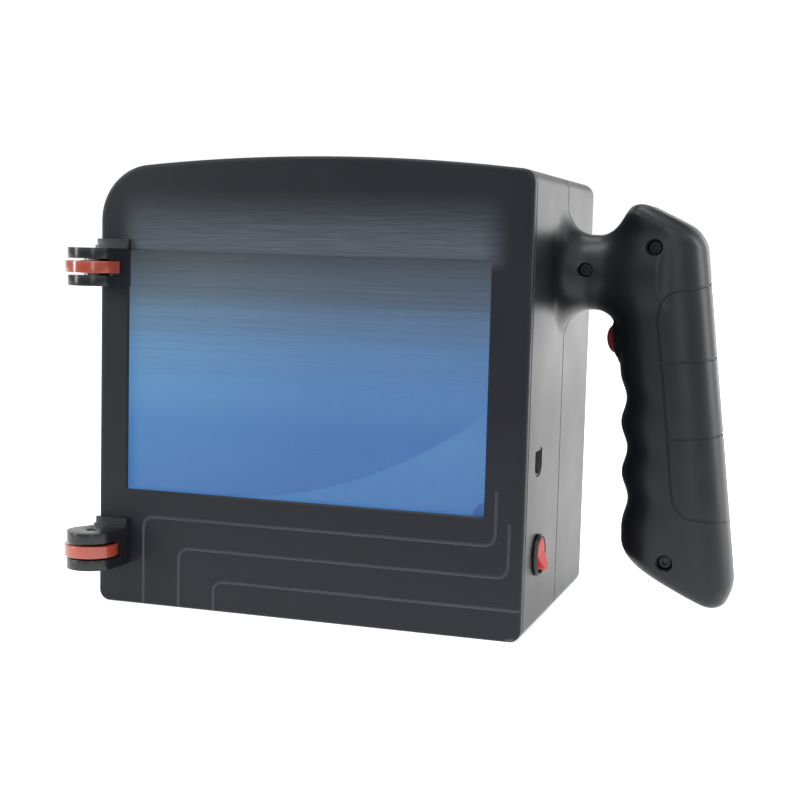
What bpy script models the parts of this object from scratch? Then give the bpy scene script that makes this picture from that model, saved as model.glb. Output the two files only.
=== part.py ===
"""Handheld thermal imaging camera: a screen housing with a side grip and two guide rollers.

The housing stands on its flat bottom. The origin is the middle of that bottom, +Z is up, the
screen faces -Y, the infrared lens faces +Y and the grip is at +X. Sizes are in millimetres and
are scaled to metres when a mesh is made.
"""

import math

import bmesh
import bpy
from mathutils import Vector

MM = 0.001
GAP = 0.3  # between pieces that touch

# Housing
HALF_WIDTH = 100.0
FRONT_Y = -67.5
REAR_Y = 67.5
CROWN_Z = 204.0  # highest point of the arched top
CROWN_X = 7.5
CROWN_RADIUS = 852.0
LEFT_TOP_RADIUS = 20.0
RIGHT_TOP_RADIUS = 6.0
BOTTOM_RADIUS = 5.0
WALL = 2.5
BEZEL_BACK_Y = FRONT_Y + 4.5
BEZEL_CHAMFER = 1.4
PARTING_Y = 2.5  # the front and rear shells, and the grip's halves, meet here

# Screen
WINDOW_LOW = (-86.0, 53.0)
WINDOW_HIGH = (82.5, 161.5)
WINDOW_LIP = 1.2
GLASS_MARGIN = 3.8

# Decorative grooves under the screen: left end x, height z, and the point of the right end
GROOVE_WIDTH = 0.8
GROOVE_DEPTH = 0.6
GROOVE_BEND = 5.0
GROOVES = ((-77.0, 41.0, (88.0, 64.7)), (-59.3, 27.7, (94.0, 51.0)), (-42.0, 14.0, None))

# Side wall
PORT_Y = -42.5
PORT_Z = 74.5
SWITCH_Y = -39.0
SWITCH_Z = 33.2
SWITCH_TILT = math.radians(12.0)

# Grip
NECK_Z = 157.0
NECK_RADIUS = 17.0
FLARE_RADIUS = 13.0
GRIP_DEPTH = 19.2  # half of the grip's thickness along Y
GRIP_WALL = 2.8
FINGER_PITCH = 22.7
FINGER_WAVE = 1.16
FINGER_MID = (130.24, 78.6)  # a finger valley, without its wave
FINGER_SLOPE = -0.0485
PALM_MID = (165.7, 153.2)
PALM_SLOPE = -0.1219
HANDLE_SCREWS = {  # x, z and the y of the grip's front face there
    "neck": (111.9, 158.1, -14.5),
    "top": (142.5, 168.7, -15.2),
    "foot": (152.5, 29.4, -15.2),
}
TRIGGER_AT = (125.2, 127.3)
TRIGGER_LEAN = math.radians(7.0)
TRIGGER_PROUD = 4.2

# Rollers on the left front edge
ROLLER_X = -96.2
ROLLER_Y = -81.5
ROLLER_HEIGHTS = {"upper": 153.9, "lower": 27.0}
WHEEL_RADIUS = 12.0
WHEEL_WIDTH = 5.8
CHEEK = 4.7
CHEEK_RADIUS = 10.8
WHEEL_GAP = 0.8
PIN_RADIUS = 1.9
BUSH_RADIUS = 3.4
WASHER_RADIUS = 3.75
FLANGE_LEFT = -100.6
FLANGE_RIGHT = -84.6
BRACKET_SCREW_X = -95.5

# Infrared lens
LENS_X = 0.0
LENS_Z = 112.0
FLANGE_SCREW_RADIUS = 31.0
SHUTTER_ARM = 17.0
SHUTTER_OPEN = math.radians(70.0)

# Corner screws that hold the rear shell to the front shell: x, z
SHELL_SCREWS = {
    "bottom_left": (-91.7, 8.3),
    "bottom_right": (91.7, 8.3),
    "top_right": (91.5, 191.2),
    "top_left": (-88.5, 187.9),
}

FINISHES = {  # red, green, blue, roughness, metallic
    "charcoal_plastic": (0.030, 0.031, 0.036, 0.42, 0.0),
    "black_plastic": (0.012, 0.012, 0.014, 0.35, 0.0),
    "screen_glass": (0.10, 0.20, 0.36, 0.08, 0.0),
    "display": (0.05, 0.16, 0.38, 0.35, 0.0),
    "roller_orange": (0.43, 0.09, 0.05, 0.22, 0.0),
    "switch_red": (0.58, 0.04, 0.03, 0.25, 0.0),
    "button_red": (0.16, 0.02, 0.03, 0.30, 0.0),
    "steel": (0.45, 0.45, 0.46, 0.32, 1.0),
    "black_steel": (0.05, 0.05, 0.055, 0.38, 1.0),
    "aluminium": (0.60, 0.61, 0.63, 0.35, 1.0),
    "germanium": (0.16, 0.12, 0.13, 0.10, 0.9),
    "board_green": (0.02, 0.16, 0.07, 0.45, 0.0),
    "battery_blue": (0.05, 0.10, 0.25, 0.50, 0.0),
    "rubber": (0.02, 0.02, 0.02, 0.80, 0.0),
}


def clear_scene():
    for thing in list(bpy.data.objects):
        bpy.data.objects.remove(thing, do_unlink=True)


def finish_for(name, kind):
    """A material of its own for each piece, with the finish's values."""
    red, green, blue, roughness, metallic = FINISHES[kind]
    made = bpy.data.materials.new(name)
    made.use_nodes = True
    shader = made.node_tree.nodes["Principled BSDF"]
    shader.inputs["Base Color"].default_value = (red, green, blue, 1.0)
    shader.inputs["Roughness"].default_value = roughness
    shader.inputs["Metallic"].default_value = metallic
    return made


def loft(name, rings, kind=None, loop=False):
    """A solid through rings of equal count: capped at its ends, or closed on itself like a tyre.

    With no kind it is a guide: a cutter or an addition for a Boolean.
    """
    count = len(rings[0])
    points = [Vector(point) * MM for ring in rings for point in ring]
    faces = []
    for row in range(len(rings) if loop else len(rings) - 1):
        here = row * count
        there = (row + 1) % len(rings) * count
        for k in range(count):
            after = (k + 1) % count
            faces.append((here + k, here + after, there + after, there + k))
    if not loop:
        faces.append(tuple(range(count)))
        faces.append(tuple(range(len(points) - count, len(points))))
    mesh = bpy.data.meshes.new(name)
    mesh.from_pydata(points, [], faces)
    shape = bmesh.new()
    shape.from_mesh(mesh)
    bmesh.ops.recalc_face_normals(shape, faces=shape.faces)
    shape.to_mesh(mesh)
    shape.free()
    mesh.shade_smooth()
    mesh.set_sharp_from_angle(angle=math.radians(32.0))
    made = bpy.data.objects.new(name, mesh)
    bpy.context.scene.collection.objects.link(made)
    if kind:
        mesh.materials.append(finish_for(name, kind))
    else:
        made.hide_render = True
        made.display_type = "WIRE"
    return made


def place(made, at, axis=(0.0, 0.0, 1.0)):
    """Put the piece's origin at a point, with its own +Z along an axis."""
    made.location = Vector(at) * MM
    made.rotation_mode = "QUATERNION"
    made.rotation_quaternion = Vector((0.0, 0.0, 1.0)).rotation_difference(Vector(axis))
    return made


def circle(radius, height, count=20, centre_x=0.0):
    found = []
    for k in range(count):
        angle = math.tau * k / count
        found.append((centre_x + radius * math.cos(angle), radius * math.sin(angle), height))
    return found


def turned(name, profile, at, axis, kind=None, loop=False, count=20):
    """A round piece: profile holds (radius, height along the axis)."""
    return place(loft(name, [circle(r, h, count) for r, h in profile], kind, loop), at, axis)


def block(name, low, high, kind=None):
    corners = ((low[0], low[1]), (high[0], low[1]), (high[0], high[1]), (low[0], high[1]))
    return loft(name, [[(x, y, z) for x, y in corners] for z in (low[2], high[2])], kind)


def prism(name, outline, y_values, kind=None):
    """An outline of (x, z) points carried along Y."""
    return loft(name, [[(x, y, z) for x, z in outline] for y in y_values], kind)


def boolean(made, other, operation):
    step = made.modifiers.new(other.name, "BOOLEAN")
    step.operation = operation
    step.object = other
    step.solver = "EXACT"


def cut(made, *others):
    for other in others:
        boolean(made, other, "DIFFERENCE")


def add(made, *others):
    for other in others:
        boolean(made, other, "UNION")


def arc(centre, radius, start, end, steps):
    """Points of (x, z) on an arc, from one angle to another, in degrees."""
    found = []
    for k in range(steps + 1):
        angle = math.radians(start + (end - start) * k / steps)
        found.append((centre[0] + radius * math.cos(angle), centre[1] + radius * math.sin(angle)))
    return found


def rectangle(low, high):
    return [(low[0], low[1]), (high[0], low[1]), (high[0], high[1]), (low[0], high[1])]


def grown(low, high, by):
    return rectangle((low[0] - by, low[1] - by), (high[0] + by, high[1] + by))


def housing_outline(inset):
    """The housing seen from the front: an arched top, one large and three small corners."""
    crown_z = CROWN_Z - CROWN_RADIUS

    def corner(side, radius):
        x = side * (HALF_WIDTH - radius)
        reach = CROWN_RADIUS - radius
        z = crown_z + math.sqrt(reach * reach - (x - CROWN_X) ** 2)
        return (x, z), math.degrees(math.atan2(z - crown_z, x - CROWN_X))

    right, right_angle = corner(1.0, RIGHT_TOP_RADIUS)
    left, left_angle = corner(-1.0, LEFT_TOP_RADIUS)
    foot_x = HALF_WIDTH - BOTTOM_RADIUS
    foot = BOTTOM_RADIUS - inset
    found = arc((foot_x, BOTTOM_RADIUS), foot, -90.0, 0.0, 3)
    found += arc(right, RIGHT_TOP_RADIUS - inset, 0.0, right_angle, 4)
    found += arc((CROWN_X, crown_z), CROWN_RADIUS - inset, right_angle, left_angle, 10)[1:-1]
    found += arc(left, LEFT_TOP_RADIUS - inset, left_angle, 180.0, 7)
    found += arc((-foot_x, BOTTOM_RADIUS), foot, 180.0, 270.0, 3)
    return found


def housing_loft(name, stations, kind=None):
    """The housing's outline carried along Y: stations of (y, inset)."""
    return loft(name, [[(x, y, z) for x, z in housing_outline(inset)] for y, inset in stations], kind)


def stroke(path, width):
    """The outline of a line of a given width along a path of (x, z) points."""
    left, right = [], []
    for k, point in enumerate(path):
        before = Vector(path[max(k - 1, 0)])
        after = Vector(path[min(k + 1, len(path) - 1)])
        along = (after - before).normalized()
        side = Vector((-along.y, along.x)) * width / 2
        left.append(tuple(Vector(point) + side))
        right.append(tuple(Vector(point) - side))
    return left + right[::-1]


def groove_paths():
    """Three nested decorative lines under the screen: up from the foot, then to the right.

    The upper two rise again at their right ends, and the lowest runs out over the edge.
    """
    paths = []
    for x, z, end in GROOVES:
        path = [(x, -1.0)]
        path += arc((x + GROOVE_BEND, z - GROOVE_BEND), GROOVE_BEND, 180.0, 90.0, 4)
        if end:
            path += arc((end[0] - GROOVE_BEND, z + GROOVE_BEND), GROOVE_BEND, 270.0, 360.0, 4)
            path.append(end)
        else:
            path.append((HALF_WIDTH + 1.0, z))
        paths.append(path)
    return paths


def make_screen():
    """The front bezel with its window, and the stack of screen pieces behind it."""
    lip_y = FRONT_Y + WINDOW_LIP
    bezel = housing_loft(
        "front_bezel",
        ((BEZEL_BACK_Y, 0.0), (FRONT_Y + BEZEL_CHAMFER, 0.0), (FRONT_Y, BEZEL_CHAMFER)),
        "charcoal_plastic",
    )
    window = prism("window_cut", rectangle(WINDOW_LOW, WINDOW_HIGH), (FRONT_Y - 1.0, BEZEL_BACK_Y + 1.0))
    recess = grown(WINDOW_LOW, WINDOW_HIGH, GLASS_MARGIN + GAP)
    pocket = prism("pocket_cut", recess, (lip_y, BEZEL_BACK_Y + 1.0))
    cut(bezel, window, pocket)
    for number, path in enumerate(groove_paths()):
        depth = (FRONT_Y - 1.0, FRONT_Y + GROOVE_DEPTH)
        cut(bezel, prism(f"groove_cut_{number}", stroke(path, GROOVE_WIDTH), depth))
    outside = grown(WINDOW_LOW, WINDOW_HIGH, GLASS_MARGIN)
    inside = grown(WINDOW_LOW, WINDOW_HIGH, 0.2)
    gasket_y = (lip_y + 0.1, lip_y + 0.6)
    rings = [[(x, gasket_y[0], z) for x, z in inside], [(x, gasket_y[0], z) for x, z in outside]]
    rings += [[(x, gasket_y[1], z) for x, z in outside], [(x, gasket_y[1], z) for x, z in inside]]
    loft("screen_gasket", rings, "rubber", loop=True)
    glass_y = (lip_y + 0.8, lip_y + 2.4)
    prism("screen_glass", outside, glass_y, "screen_glass")
    panel = grown(WINDOW_LOW, WINDOW_HIGH, 2.6)
    panel_y = (glass_y[1] + GAP, glass_y[1] + 4.3)
    prism("lcd_panel", panel, panel_y, "display")
    frame_y = (BEZEL_BACK_Y + GAP, panel_y[1] + 1.3)
    frame = prism("lcd_frame", grown(WINDOW_LOW, WINDOW_HIGH, 4.0), frame_y, "steel")
    cut(frame, prism("lcd_seat", grown(WINDOW_LOW, WINDOW_HIGH, 3.0), (frame_y[0] - 1.0, panel_y[1] + GAP)))
    cut(frame, block("lcd_cable_slot", (-20.0, frame_y[1] - 2.0, 60.0), (20.0, frame_y[1] + 1.0, 68.0)))
    for x in (-52.0, 52.0):
        for z in (70.0, 144.0):
            at = (x, frame_y[1] - 0.5, z)
            standoff = ((3.0, 0.0), (3.0, 10.8))
            add(frame, turned(f"standoff_{x:.0f}_{z:.0f}", standoff, at, (0, 1, 0), count=10))
    return bezel, frame_y[1] + 10.3


def make_electronics(board_y):
    """The main board on its standoffs, its heat sink, and the battery in its tray."""
    board = block("main_board", (-60.0, board_y + GAP, 62.0), (60.0, board_y + GAP + 1.6, 152.0), "board_green")
    for number, (x, z) in enumerate(((-35.0, 80.0), (30.0, 78.0), (38.0, 128.0))):
        low = (x - 9.0, board_y + 1.0, z - 7.0)
        add(board, block(f"board_chip_{number}", low, (x + 9.0, board_y + 4.5, z + 7.0)))
    back = board_y + GAP + 1.6
    sink = block("heat_sink", (-25.0, back + GAP, 95.0), (20.0, back + 12.0, 140.0), "aluminium")
    for number in range(6):
        x = -21.0 + 7.0 * number
        cut(sink, block(f"fin_cut_{number}", (x - 1.9, back + 3.5, 90.0), (x + 1.9, back + 13.0, 145.0)))
    floor = WALL + GAP
    tray = block("battery_tray", (-72.0, -52.0, floor), (52.0, -12.0, floor + 16.0), "black_plastic")
    cut(tray, block("tray_hollow", (-70.0, -50.0, floor + 2.0), (50.0, -14.0, floor + 20.0)))
    block("battery_pack", (-69.7, -49.7, floor + 2.3), (49.7, -14.3, floor + 36.0), "battery_blue")


def grip_ring(finger, palm, depth, count):
    """One rounded section of the grip, in the plane through its finger and palm edges."""
    squareness = 0.82
    middle = (Vector(finger) + Vector(palm)) / 2
    half = (Vector(palm) - Vector(finger)) / 2
    ring = []
    for k in range(count):
        angle = math.tau * k / count
        across = math.copysign(abs(math.cos(angle)) ** squareness, math.cos(angle))
        deep = math.copysign(abs(math.sin(angle)) ** squareness, math.sin(angle))
        x, z = middle + half * across
        ring.append((x, PARTING_Y + depth * deep, z))
    return ring


def finger_x(z):
    wave = FINGER_WAVE * math.cos(math.tau * (z - FINGER_MID[1]) / FINGER_PITCH)
    return FINGER_MID[0] + FINGER_SLOPE * (z - FINGER_MID[1]) + wave


def palm_x(z):
    return PALM_MID[0] + PALM_SLOPE * (z - PALM_MID[1])


def grip_solid(name):
    """The grip from its slanted top to its slanted foot."""
    stations = [
        ((134.5, 189.0), (158.5, 177.6), 10.0),
        ((130.0, 188.4), (161.2, 175.4), 14.8),
        ((127.2, 186.6), (163.0, 172.6), 17.2),
        ((125.4, 183.0), (164.1, 168.0), 18.7),
        ((124.9, 177.0), (164.7, 162.0), GRIP_DEPTH),
        ((124.7, 160.0), (palm_x(150.0), 150.0), GRIP_DEPTH),
        ((124.3, 140.0), (palm_x(138.0), 138.0), GRIP_DEPTH),
        ((126.0, 124.0), (palm_x(124.0), 124.0), GRIP_DEPTH),
    ]
    steps = 12
    for k in range(steps):
        z = 113.2 - k * FINGER_PITCH * 3 / steps
        stations.append(((finger_x(z), z), (palm_x(z), z), GRIP_DEPTH))
    stations += [
        ((130.0, 41.0), (179.6, 38.0), GRIP_DEPTH),
        ((130.5, 33.0), (181.2, 26.0), GRIP_DEPTH),
        ((132.6, 27.0), (182.3, 16.5), 18.7),
        ((136.5, 22.6), (181.3, 12.0), 17.2),
        ((142.5, 18.6), (178.0, 8.6), 14.8),
        ((149.5, 14.2), (171.5, 6.3), 10.0),
    ]
    return loft(name, [grip_ring(finger, palm, depth, 16) for finger, palm, depth in stations])


def grip_hollow(name):
    """The hollow inside the grip, clear of the finger waves."""
    depth = GRIP_DEPTH - GRIP_WALL
    stations = [
        ((130.5, 176.0), (158.5, 168.0), depth - 3.5),
        ((128.5, 168.0), (161.0, 160.0), depth),
    ]
    for z in (140.0, 120.0, 60.0, 44.0):
        finger = FINGER_MID[0] + FINGER_SLOPE * (z - FINGER_MID[1]) + FINGER_WAVE
        stations.append(((finger + GRIP_WALL - 1.0, z), (palm_x(z) - GRIP_WALL, z), depth))
    stations.append(((140.0, 30.0), (174.5, 22.0), depth - 3.5))
    return loft(name, [grip_ring(finger, palm, depth, 10) for finger, palm, depth in stations])


def neck_solid(name):
    """The neck: a wide fillet at the side wall, then a tube that runs into the grip."""
    profile = [(NECK_RADIUS + FLARE_RADIUS, HALF_WIDTH - 2.0)]
    for k in range(6):
        angle = math.radians(90.0 * k / 5)
        x = HALF_WIDTH + FLARE_RADIUS * (1.0 - math.cos(angle))
        profile.append((NECK_RADIUS + FLARE_RADIUS * (1.0 - math.sin(angle)), x))
    profile += [(17.0, 117.0), (17.6, 120.5), (18.6, 124.0), (16.0, 138.0)]
    return turned(name, profile, (0.0, PARTING_Y, NECK_Z), (1, 0, 0), count=20)


def trigger_axis():
    """Out of the grip's finger side, leaning a little down."""
    return (-math.cos(TRIGGER_LEAN), 0.0, -math.sin(TRIGGER_LEAN))


def make_shell(name, y_low, y_high):
    """One half of the housing and of the grip, moulded in one piece."""
    shell = housing_loft(
        name,
        ((BEZEL_BACK_Y + GAP, 0.0), (REAR_Y - 4.0, 0.0), (REAR_Y - 1.2, 1.2), (REAR_Y, 4.0)),
        "charcoal_plastic",
    )
    add(shell, neck_solid(f"{name}_neck"), grip_solid(f"{name}_grip"))
    trigger_at = (TRIGGER_AT[0], PARTING_Y, TRIGGER_AT[1])
    add(shell, turned(f"{name}_trigger_seat", ((9.9, -7.0), (9.3, -GAP)), trigger_at, trigger_axis()))
    hollow_y = (BEZEL_BACK_Y + GAP + 2.0, REAR_Y - 3.0)
    cut(shell, housing_loft(f"{name}_hollow", ((hollow_y[0], WALL), (hollow_y[1], WALL))))
    cut(shell, grip_hollow(f"{name}_grip_hollow"))
    bore = ((11.5, 95.0), (11.5, 139.0))
    cut(shell, turned(f"{name}_neck_bore", bore, (0.0, PARTING_Y, NECK_Z), (1, 0, 0), count=16))
    opening = grown(WINDOW_LOW, WINDOW_HIGH, 5.5)
    cut(shell, prism(f"{name}_screen_opening", opening, (FRONT_Y, hollow_y[0] + 1.0)))
    for corner, (x, z) in SHELL_SCREWS.items():
        post = ((6.2, hollow_y[0] - 1.0), (6.2, hollow_y[1] + 1.0))
        add(shell, turned(f"{name}_{corner}_post", post, (x, 0.0, z), (0, 1, 0), count=8))
    for spot, (x, z, face_y) in HANDLE_SCREWS.items():
        post = ((4.6, face_y + 1.5), (4.6, 2 * PARTING_Y - face_y - 1.5))
        add(shell, turned(f"{name}_{spot}_post", post, (x, 0.0, z), (0, 1, 0), count=12))
    for corner, (x, z) in SHELL_SCREWS.items():
        hole = ((1.8, -15.0), (1.8, 15.0), (3.2, 15.0), (3.2, REAR_Y + 1.0))
        cut(shell, turned(f"{name}_{corner}_hole", hole, (x, 0.0, z), (0, 1, 0), count=8))
    for spot, (x, z, face_y) in HANDLE_SCREWS.items():
        hole = ((3.15, face_y - 6.0), (3.15, face_y + 5.0), (1.8, face_y + 5.0), (1.8, 15.0))
        cut(shell, turned(f"{name}_{spot}_hole", hole, (x, 0.0, z), (0, 1, 0), count=12))
    cut(shell, turned(f"{name}_trigger_hole", ((8.3, -9.0), (8.3, 6.0)), trigger_at, trigger_axis()))
    if y_high > PARTING_Y + 1.0:
        for number in range(4):
            x, z = flange_screw_place(number)
            post = ((3.6, 61.0), (3.6, REAR_Y - 2.0))
            add(shell, turned(f"{name}_flange_post_{number}", post, (x, 0.0, z), (0, 1, 0), count=10))
            hole = ((1.8, 55.0), (1.8, REAR_Y + 2.0))
            cut(shell, turned(f"{name}_flange_hole_{number}", hole, (x, 0.0, z), (0, 1, 0), count=10))
        hole = ((25.3, REAR_Y - 8.0), (25.3, REAR_Y + 3.0))
        cut(shell, turned(f"{name}_lens_hole", hole, (LENS_X, 0.0, LENS_Z), (0, 1, 0), count=28))
    else:
        cut(shell, loft("port_hole", port_rings(0.3, 88.0, 105.0)))
        hole = ((8.95, 85.0), (8.95, 105.0))
        cut(shell, turned("switch_hole", hole, (0.0, SWITCH_Y, SWITCH_Z), (1, 0, 0), count=24))
    boolean(shell, block(f"{name}_half", (-150.0, y_low, -20.0), (220.0, y_high, 240.0)), "INTERSECT")
    return shell


def port_rings(by, x_low, x_high, half_y=6.4, half_z=5.8, taper=3.0):
    """A square socket with its two lower corners cut, carried along X."""
    y, z = half_y + by, half_z + by
    outline = ((-y, -z + taper), (-y + taper, -z), (y - taper, -z), (y, -z + taper), (y, z), (-y, z))
    return [[(x, PORT_Y + across, PORT_Z + up) for across, up in outline] for x in (x_low, x_high)]


def make_port():
    """The data socket in the side wall: a square shell with a tongue."""
    port = loft("data_port", port_rings(0.0, 85.0, HALF_WIDTH - 0.4), "black_steel")
    cut(port, loft("port_socket", port_rings(-0.8, 88.0, 105.0, taper=2.8)))
    tongue = block("port_tongue", (86.0, PORT_Y - 2.8, PORT_Z + 1.3), (97.5, PORT_Y + 2.8, PORT_Z + 3.6))
    add(port, tongue)


def make_switch():
    """A round rocker switch: body with its rim, pivot pin and tilted paddle."""
    at = (HALF_WIDTH, SWITCH_Y, SWITCH_Z)
    out = (1.0, 0.0, 0.0)
    rim = ((8.0, -4.8), (8.0, 1.2), (8.5, 2.1), (8.9, 1.9), (9.3, 0.9), (9.3, GAP))
    barrel = ((8.65, GAP), (8.65, -13.0), (3.0, -13.0), (3.0, -4.8))
    body = turned("switch_body", rim + barrel, at, out, "black_plastic", True, 24)
    add(body, turned("switch_floor", ((3.5, -13.0), (3.5, -6.0)), at, out, count=12))
    pivot = (HALF_WIDTH - 1.0, SWITCH_Y, SWITCH_Z)
    pin = turned("rocker_pin", ((0.8, -7.7), (0.8, 7.7)), pivot, (0, 1, 0), "steel", count=10)
    paddle = loft("rocker", [circle(7.0, h, 24) for h in (-1.2, 4.8)], "switch_red")
    hollow = [[(-14.0, -9.0, 6.4), (0.0, -9.0, 3.1), (14.0, -9.0, 6.4), (0.0, -9.0, 12.0)]]
    hollow.append([(x, 9.0, z) for x, _, z in hollow[0]])
    dish = loft("rocker_dish", hollow)
    bore = turned("rocker_bore", ((1.0, -9.0), (1.0, 9.0)), (0, 0, 0), (0, 1, 0), count=10)
    cut(paddle, dish, bore)
    for guide in (dish, bore):
        guide.parent = paddle
    paddle.location = pin.location
    paddle.rotation_mode = "XYZ"
    paddle.rotation_euler = (0.0, math.radians(90.0) - SWITCH_TILT, 0.0)


def make_trigger():
    """The trigger button in its collar, the switch behind it and the lead to the board."""
    at = (TRIGGER_AT[0], PARTING_Y, TRIGGER_AT[1])
    axis = trigger_axis()
    collar = ((6.9, -4.2), (6.9, 1.6), (7.6, 1.9), (8.5, 1.3), (9.2, 0.0), (8.0, 0.0), (8.0, -4.2))
    turned("trigger_collar", collar, at, axis, "black_plastic", True, 20)
    dome = [(1.4, -9.6), (1.4, -6.0), (7.6, -6.0), (7.6, -4.7), (6.6, -4.7), (6.6, 1.0)]
    for k in range(1, 5):
        angle = math.radians(90.0 * k / 5)
        dome.append((6.6 * math.cos(angle), 1.0 + (TRIGGER_PROUD - 1.0) * math.sin(angle)))
    dome.append((0.6, TRIGGER_PROUD))
    turned("trigger_button", dome, at, axis, "button_red", count=20)
    case = place(block("trigger_switch", (-5.0, -5.0, -16.0), (5.0, 5.0, -8.8), "black_plastic"), at, axis)
    cut(case, turned("switch_stem_hole", ((1.9, -13.5), (1.9, -8.0)), at, axis, count=12))


def make_lead():
    """The lead from the trigger switch, through the neck, to the main board."""
    up_the_grip = ((143.5, 2.5, 131.5), (146.5, 2.5, 137.0), (142.0, 2.5, 146.5))
    along_the_neck = ((130.0, 2.5, 149.5), (112.0, 2.5, 149.0), (92.0, 2.0, 148.5))
    to_the_board = ((78.0, -8.0, 147.0), (69.0, -24.0, 143.0), (61.5, -38.0, 139.0), (56.0, -44.5, 137.0))
    control = [Vector(point) for point in up_the_grip + along_the_neck + to_the_board]
    points = []
    for k in range(len(control) - 1):
        before = control[max(k - 1, 0)]
        after = control[min(k + 2, len(control) - 1)]
        start, end = control[k], control[k + 1]
        for step in range(2):
            t = step / 2
            bend = (after - start) * (t ** 3 - t ** 2) + (end - before) * (t ** 3 - 2 * t ** 2 + t)
            points.append(start * (2 * t ** 3 - 3 * t ** 2 + 1) + end * (3 * t ** 2 - 2 * t ** 3) + bend / 2)
    points.append(control[-1])
    curve = bpy.data.curves.new("trigger_lead", "CURVE")
    curve.dimensions = "3D"
    curve.bevel_depth = 1.1 * MM
    curve.bevel_resolution = 1
    curve.use_fill_caps = True
    line = curve.splines.new("POLY")
    line.points.add(len(points) - 1)
    for spot, point in zip(line.points, points):
        spot.co = (*(point * MM), 1.0)
    curve.materials.append(finish_for("trigger_lead", "rubber"))
    bpy.context.scene.collection.objects.link(bpy.data.objects.new("trigger_lead", curve))


def screw(name, head_at, axis, radius, length, head_radius, head_height):
    """A socket-head screw: its head's outer face is at head_at, and axis points out of it."""
    shank = ((radius, -head_height - length), (radius, -head_height))
    head = ((head_radius, -head_height), (head_radius, 0.0))
    made = turned(name, shank + head, head_at, axis, "black_steel", count=10)
    socket = ((head_radius * 0.5, -head_height * 0.6), (head_radius * 0.5, 1.0))
    cut(made, turned(f"{name}_socket", socket, head_at, axis, count=6))


def make_screws():
    for corner, (x, z) in SHELL_SCREWS.items():
        screw(f"shell_screw_{corner}", (x, 17.6, z), (0, 1, 0), 1.5, 26.0, 2.8, 2.3)
    for spot, (x, z, face_y) in HANDLE_SCREWS.items():
        screw(f"handle_screw_{spot}", (x, face_y + 2.4, z), (0, -1, 0), 1.5, 20.0, 2.7, 2.3)
    for number in range(4):
        x, z = flange_screw_place(number)
        screw(f"flange_screw_{number + 1}", (x, REAR_Y + 3.6, z), (0, 1, 0), 1.4, 12.5, 2.6, 2.0)


def flange_screw_place(number):
    """The (x, z) of one of the four screws around the lens."""
    angle = math.radians(45.0 + 90.0 * number)
    x = LENS_X + FLANGE_SCREW_RADIUS * math.cos(angle)
    return x, LENS_Z + FLANGE_SCREW_RADIUS * math.sin(angle)


def ribbed_rings(outer, groove, inner, y_low, y_high, ribs):
    """A ring with ribs along its axis around the outside."""
    count = ribs * 4
    turn = math.tau / count
    rings = []
    for height, ribbed in ((y_low, False), (y_low + 1.4, True), (y_high - 1.4, True), (y_high, False)):
        ring = []
        for k in range(count):
            radius = outer if ribbed and k % 4 < 2 else groove
            ring.append((radius * math.cos(k * turn), radius * math.sin(k * turn), height))
        rings.append(ring)
    for height in (y_high, y_low):
        rings.append(circle(inner, height, count))
    return rings


def make_lens():
    """The infrared lens on the rear wall, with its focus ring and sliding cell."""
    at = (LENS_X, 0.0, LENS_Z)
    out = (0.0, 1.0, 0.0)
    base = REAR_Y + GAP
    spigot = ((22.3, 61.5), (24.9, 61.5), (24.9, base))
    plate = ((36.0, base), (36.0, base + 2.6), (34.6, base + 4.0))
    collar = ((27.0, base + 4.0), (26.0, base + 7.0), (22.3, base + 7.0))
    flange = turned("lens_flange", spigot + plate + collar, at, out, "black_steel", True, 28)
    for number in range(4):
        x, z = flange_screw_place(number)
        hole = ((1.7, base - 1.0), (1.7, base + 1.2), (2.9, base + 1.2), (2.9, base + 6.0))
        cut(flange, turned(f"flange_cut_{number}", hole, (x, 0.0, z), out, count=12))
    tube = ((18.9, 60.4), (22.0, 60.4), (22.0, 89.0), (18.9, 89.0))
    stop = ((18.9, 69.6), (16.4, 69.6), (16.4, 67.8), (18.9, 67.8))
    turned("lens_barrel", tube + stop, at, out, "black_steel", True, 24)
    ring = loft("focus_ring", ribbed_rings(27.5, 26.7, 22.3, 0.0, 12.5, 14), "rubber", loop=True)
    place(ring, (LENS_X, 75.4, LENS_Z), out)
    cell_outside = ((16.0, 71.5), (18.6, 71.5), (18.6, 91.0), (17.6, 92.0))
    cell_mouth = ((15.4, 92.0), (15.4, 90.8), (16.4, 90.8), (16.4, 83.0))
    cell_seat = ((14.6, 83.0), (14.6, 81.6), (16.0, 81.6))
    cell = cell_outside + cell_mouth + cell_seat
    turned("focus_cell", cell, at, out, "black_steel", True, 24)
    flat_side = [(0.8, 84.4), (6.0, 84.0), (11.0, 83.6), (16.1, 83.3)]
    curved_side = [(16.1, 85.6), (12.0, 87.2), (7.0, 88.4), (0.8, 89.0)]
    turned("objective_lens", flat_side + curved_side, at, out, "germanium", count=24)
    retainer = ((14.2, 88.3), (16.1, 86.2), (16.1, 90.5), (14.2, 90.5))
    turned("lens_retainer", retainer, at, out, "black_steel", True, 24)
    back = [(0.8, 61.4), (8.0, 62.0), (13.0, 63.2), (18.6, 63.6), (18.6, 66.2), (9.0, 67.2), (0.8, 67.6)]
    turned("rear_lens", back, at, out, "germanium", count=24)


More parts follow.
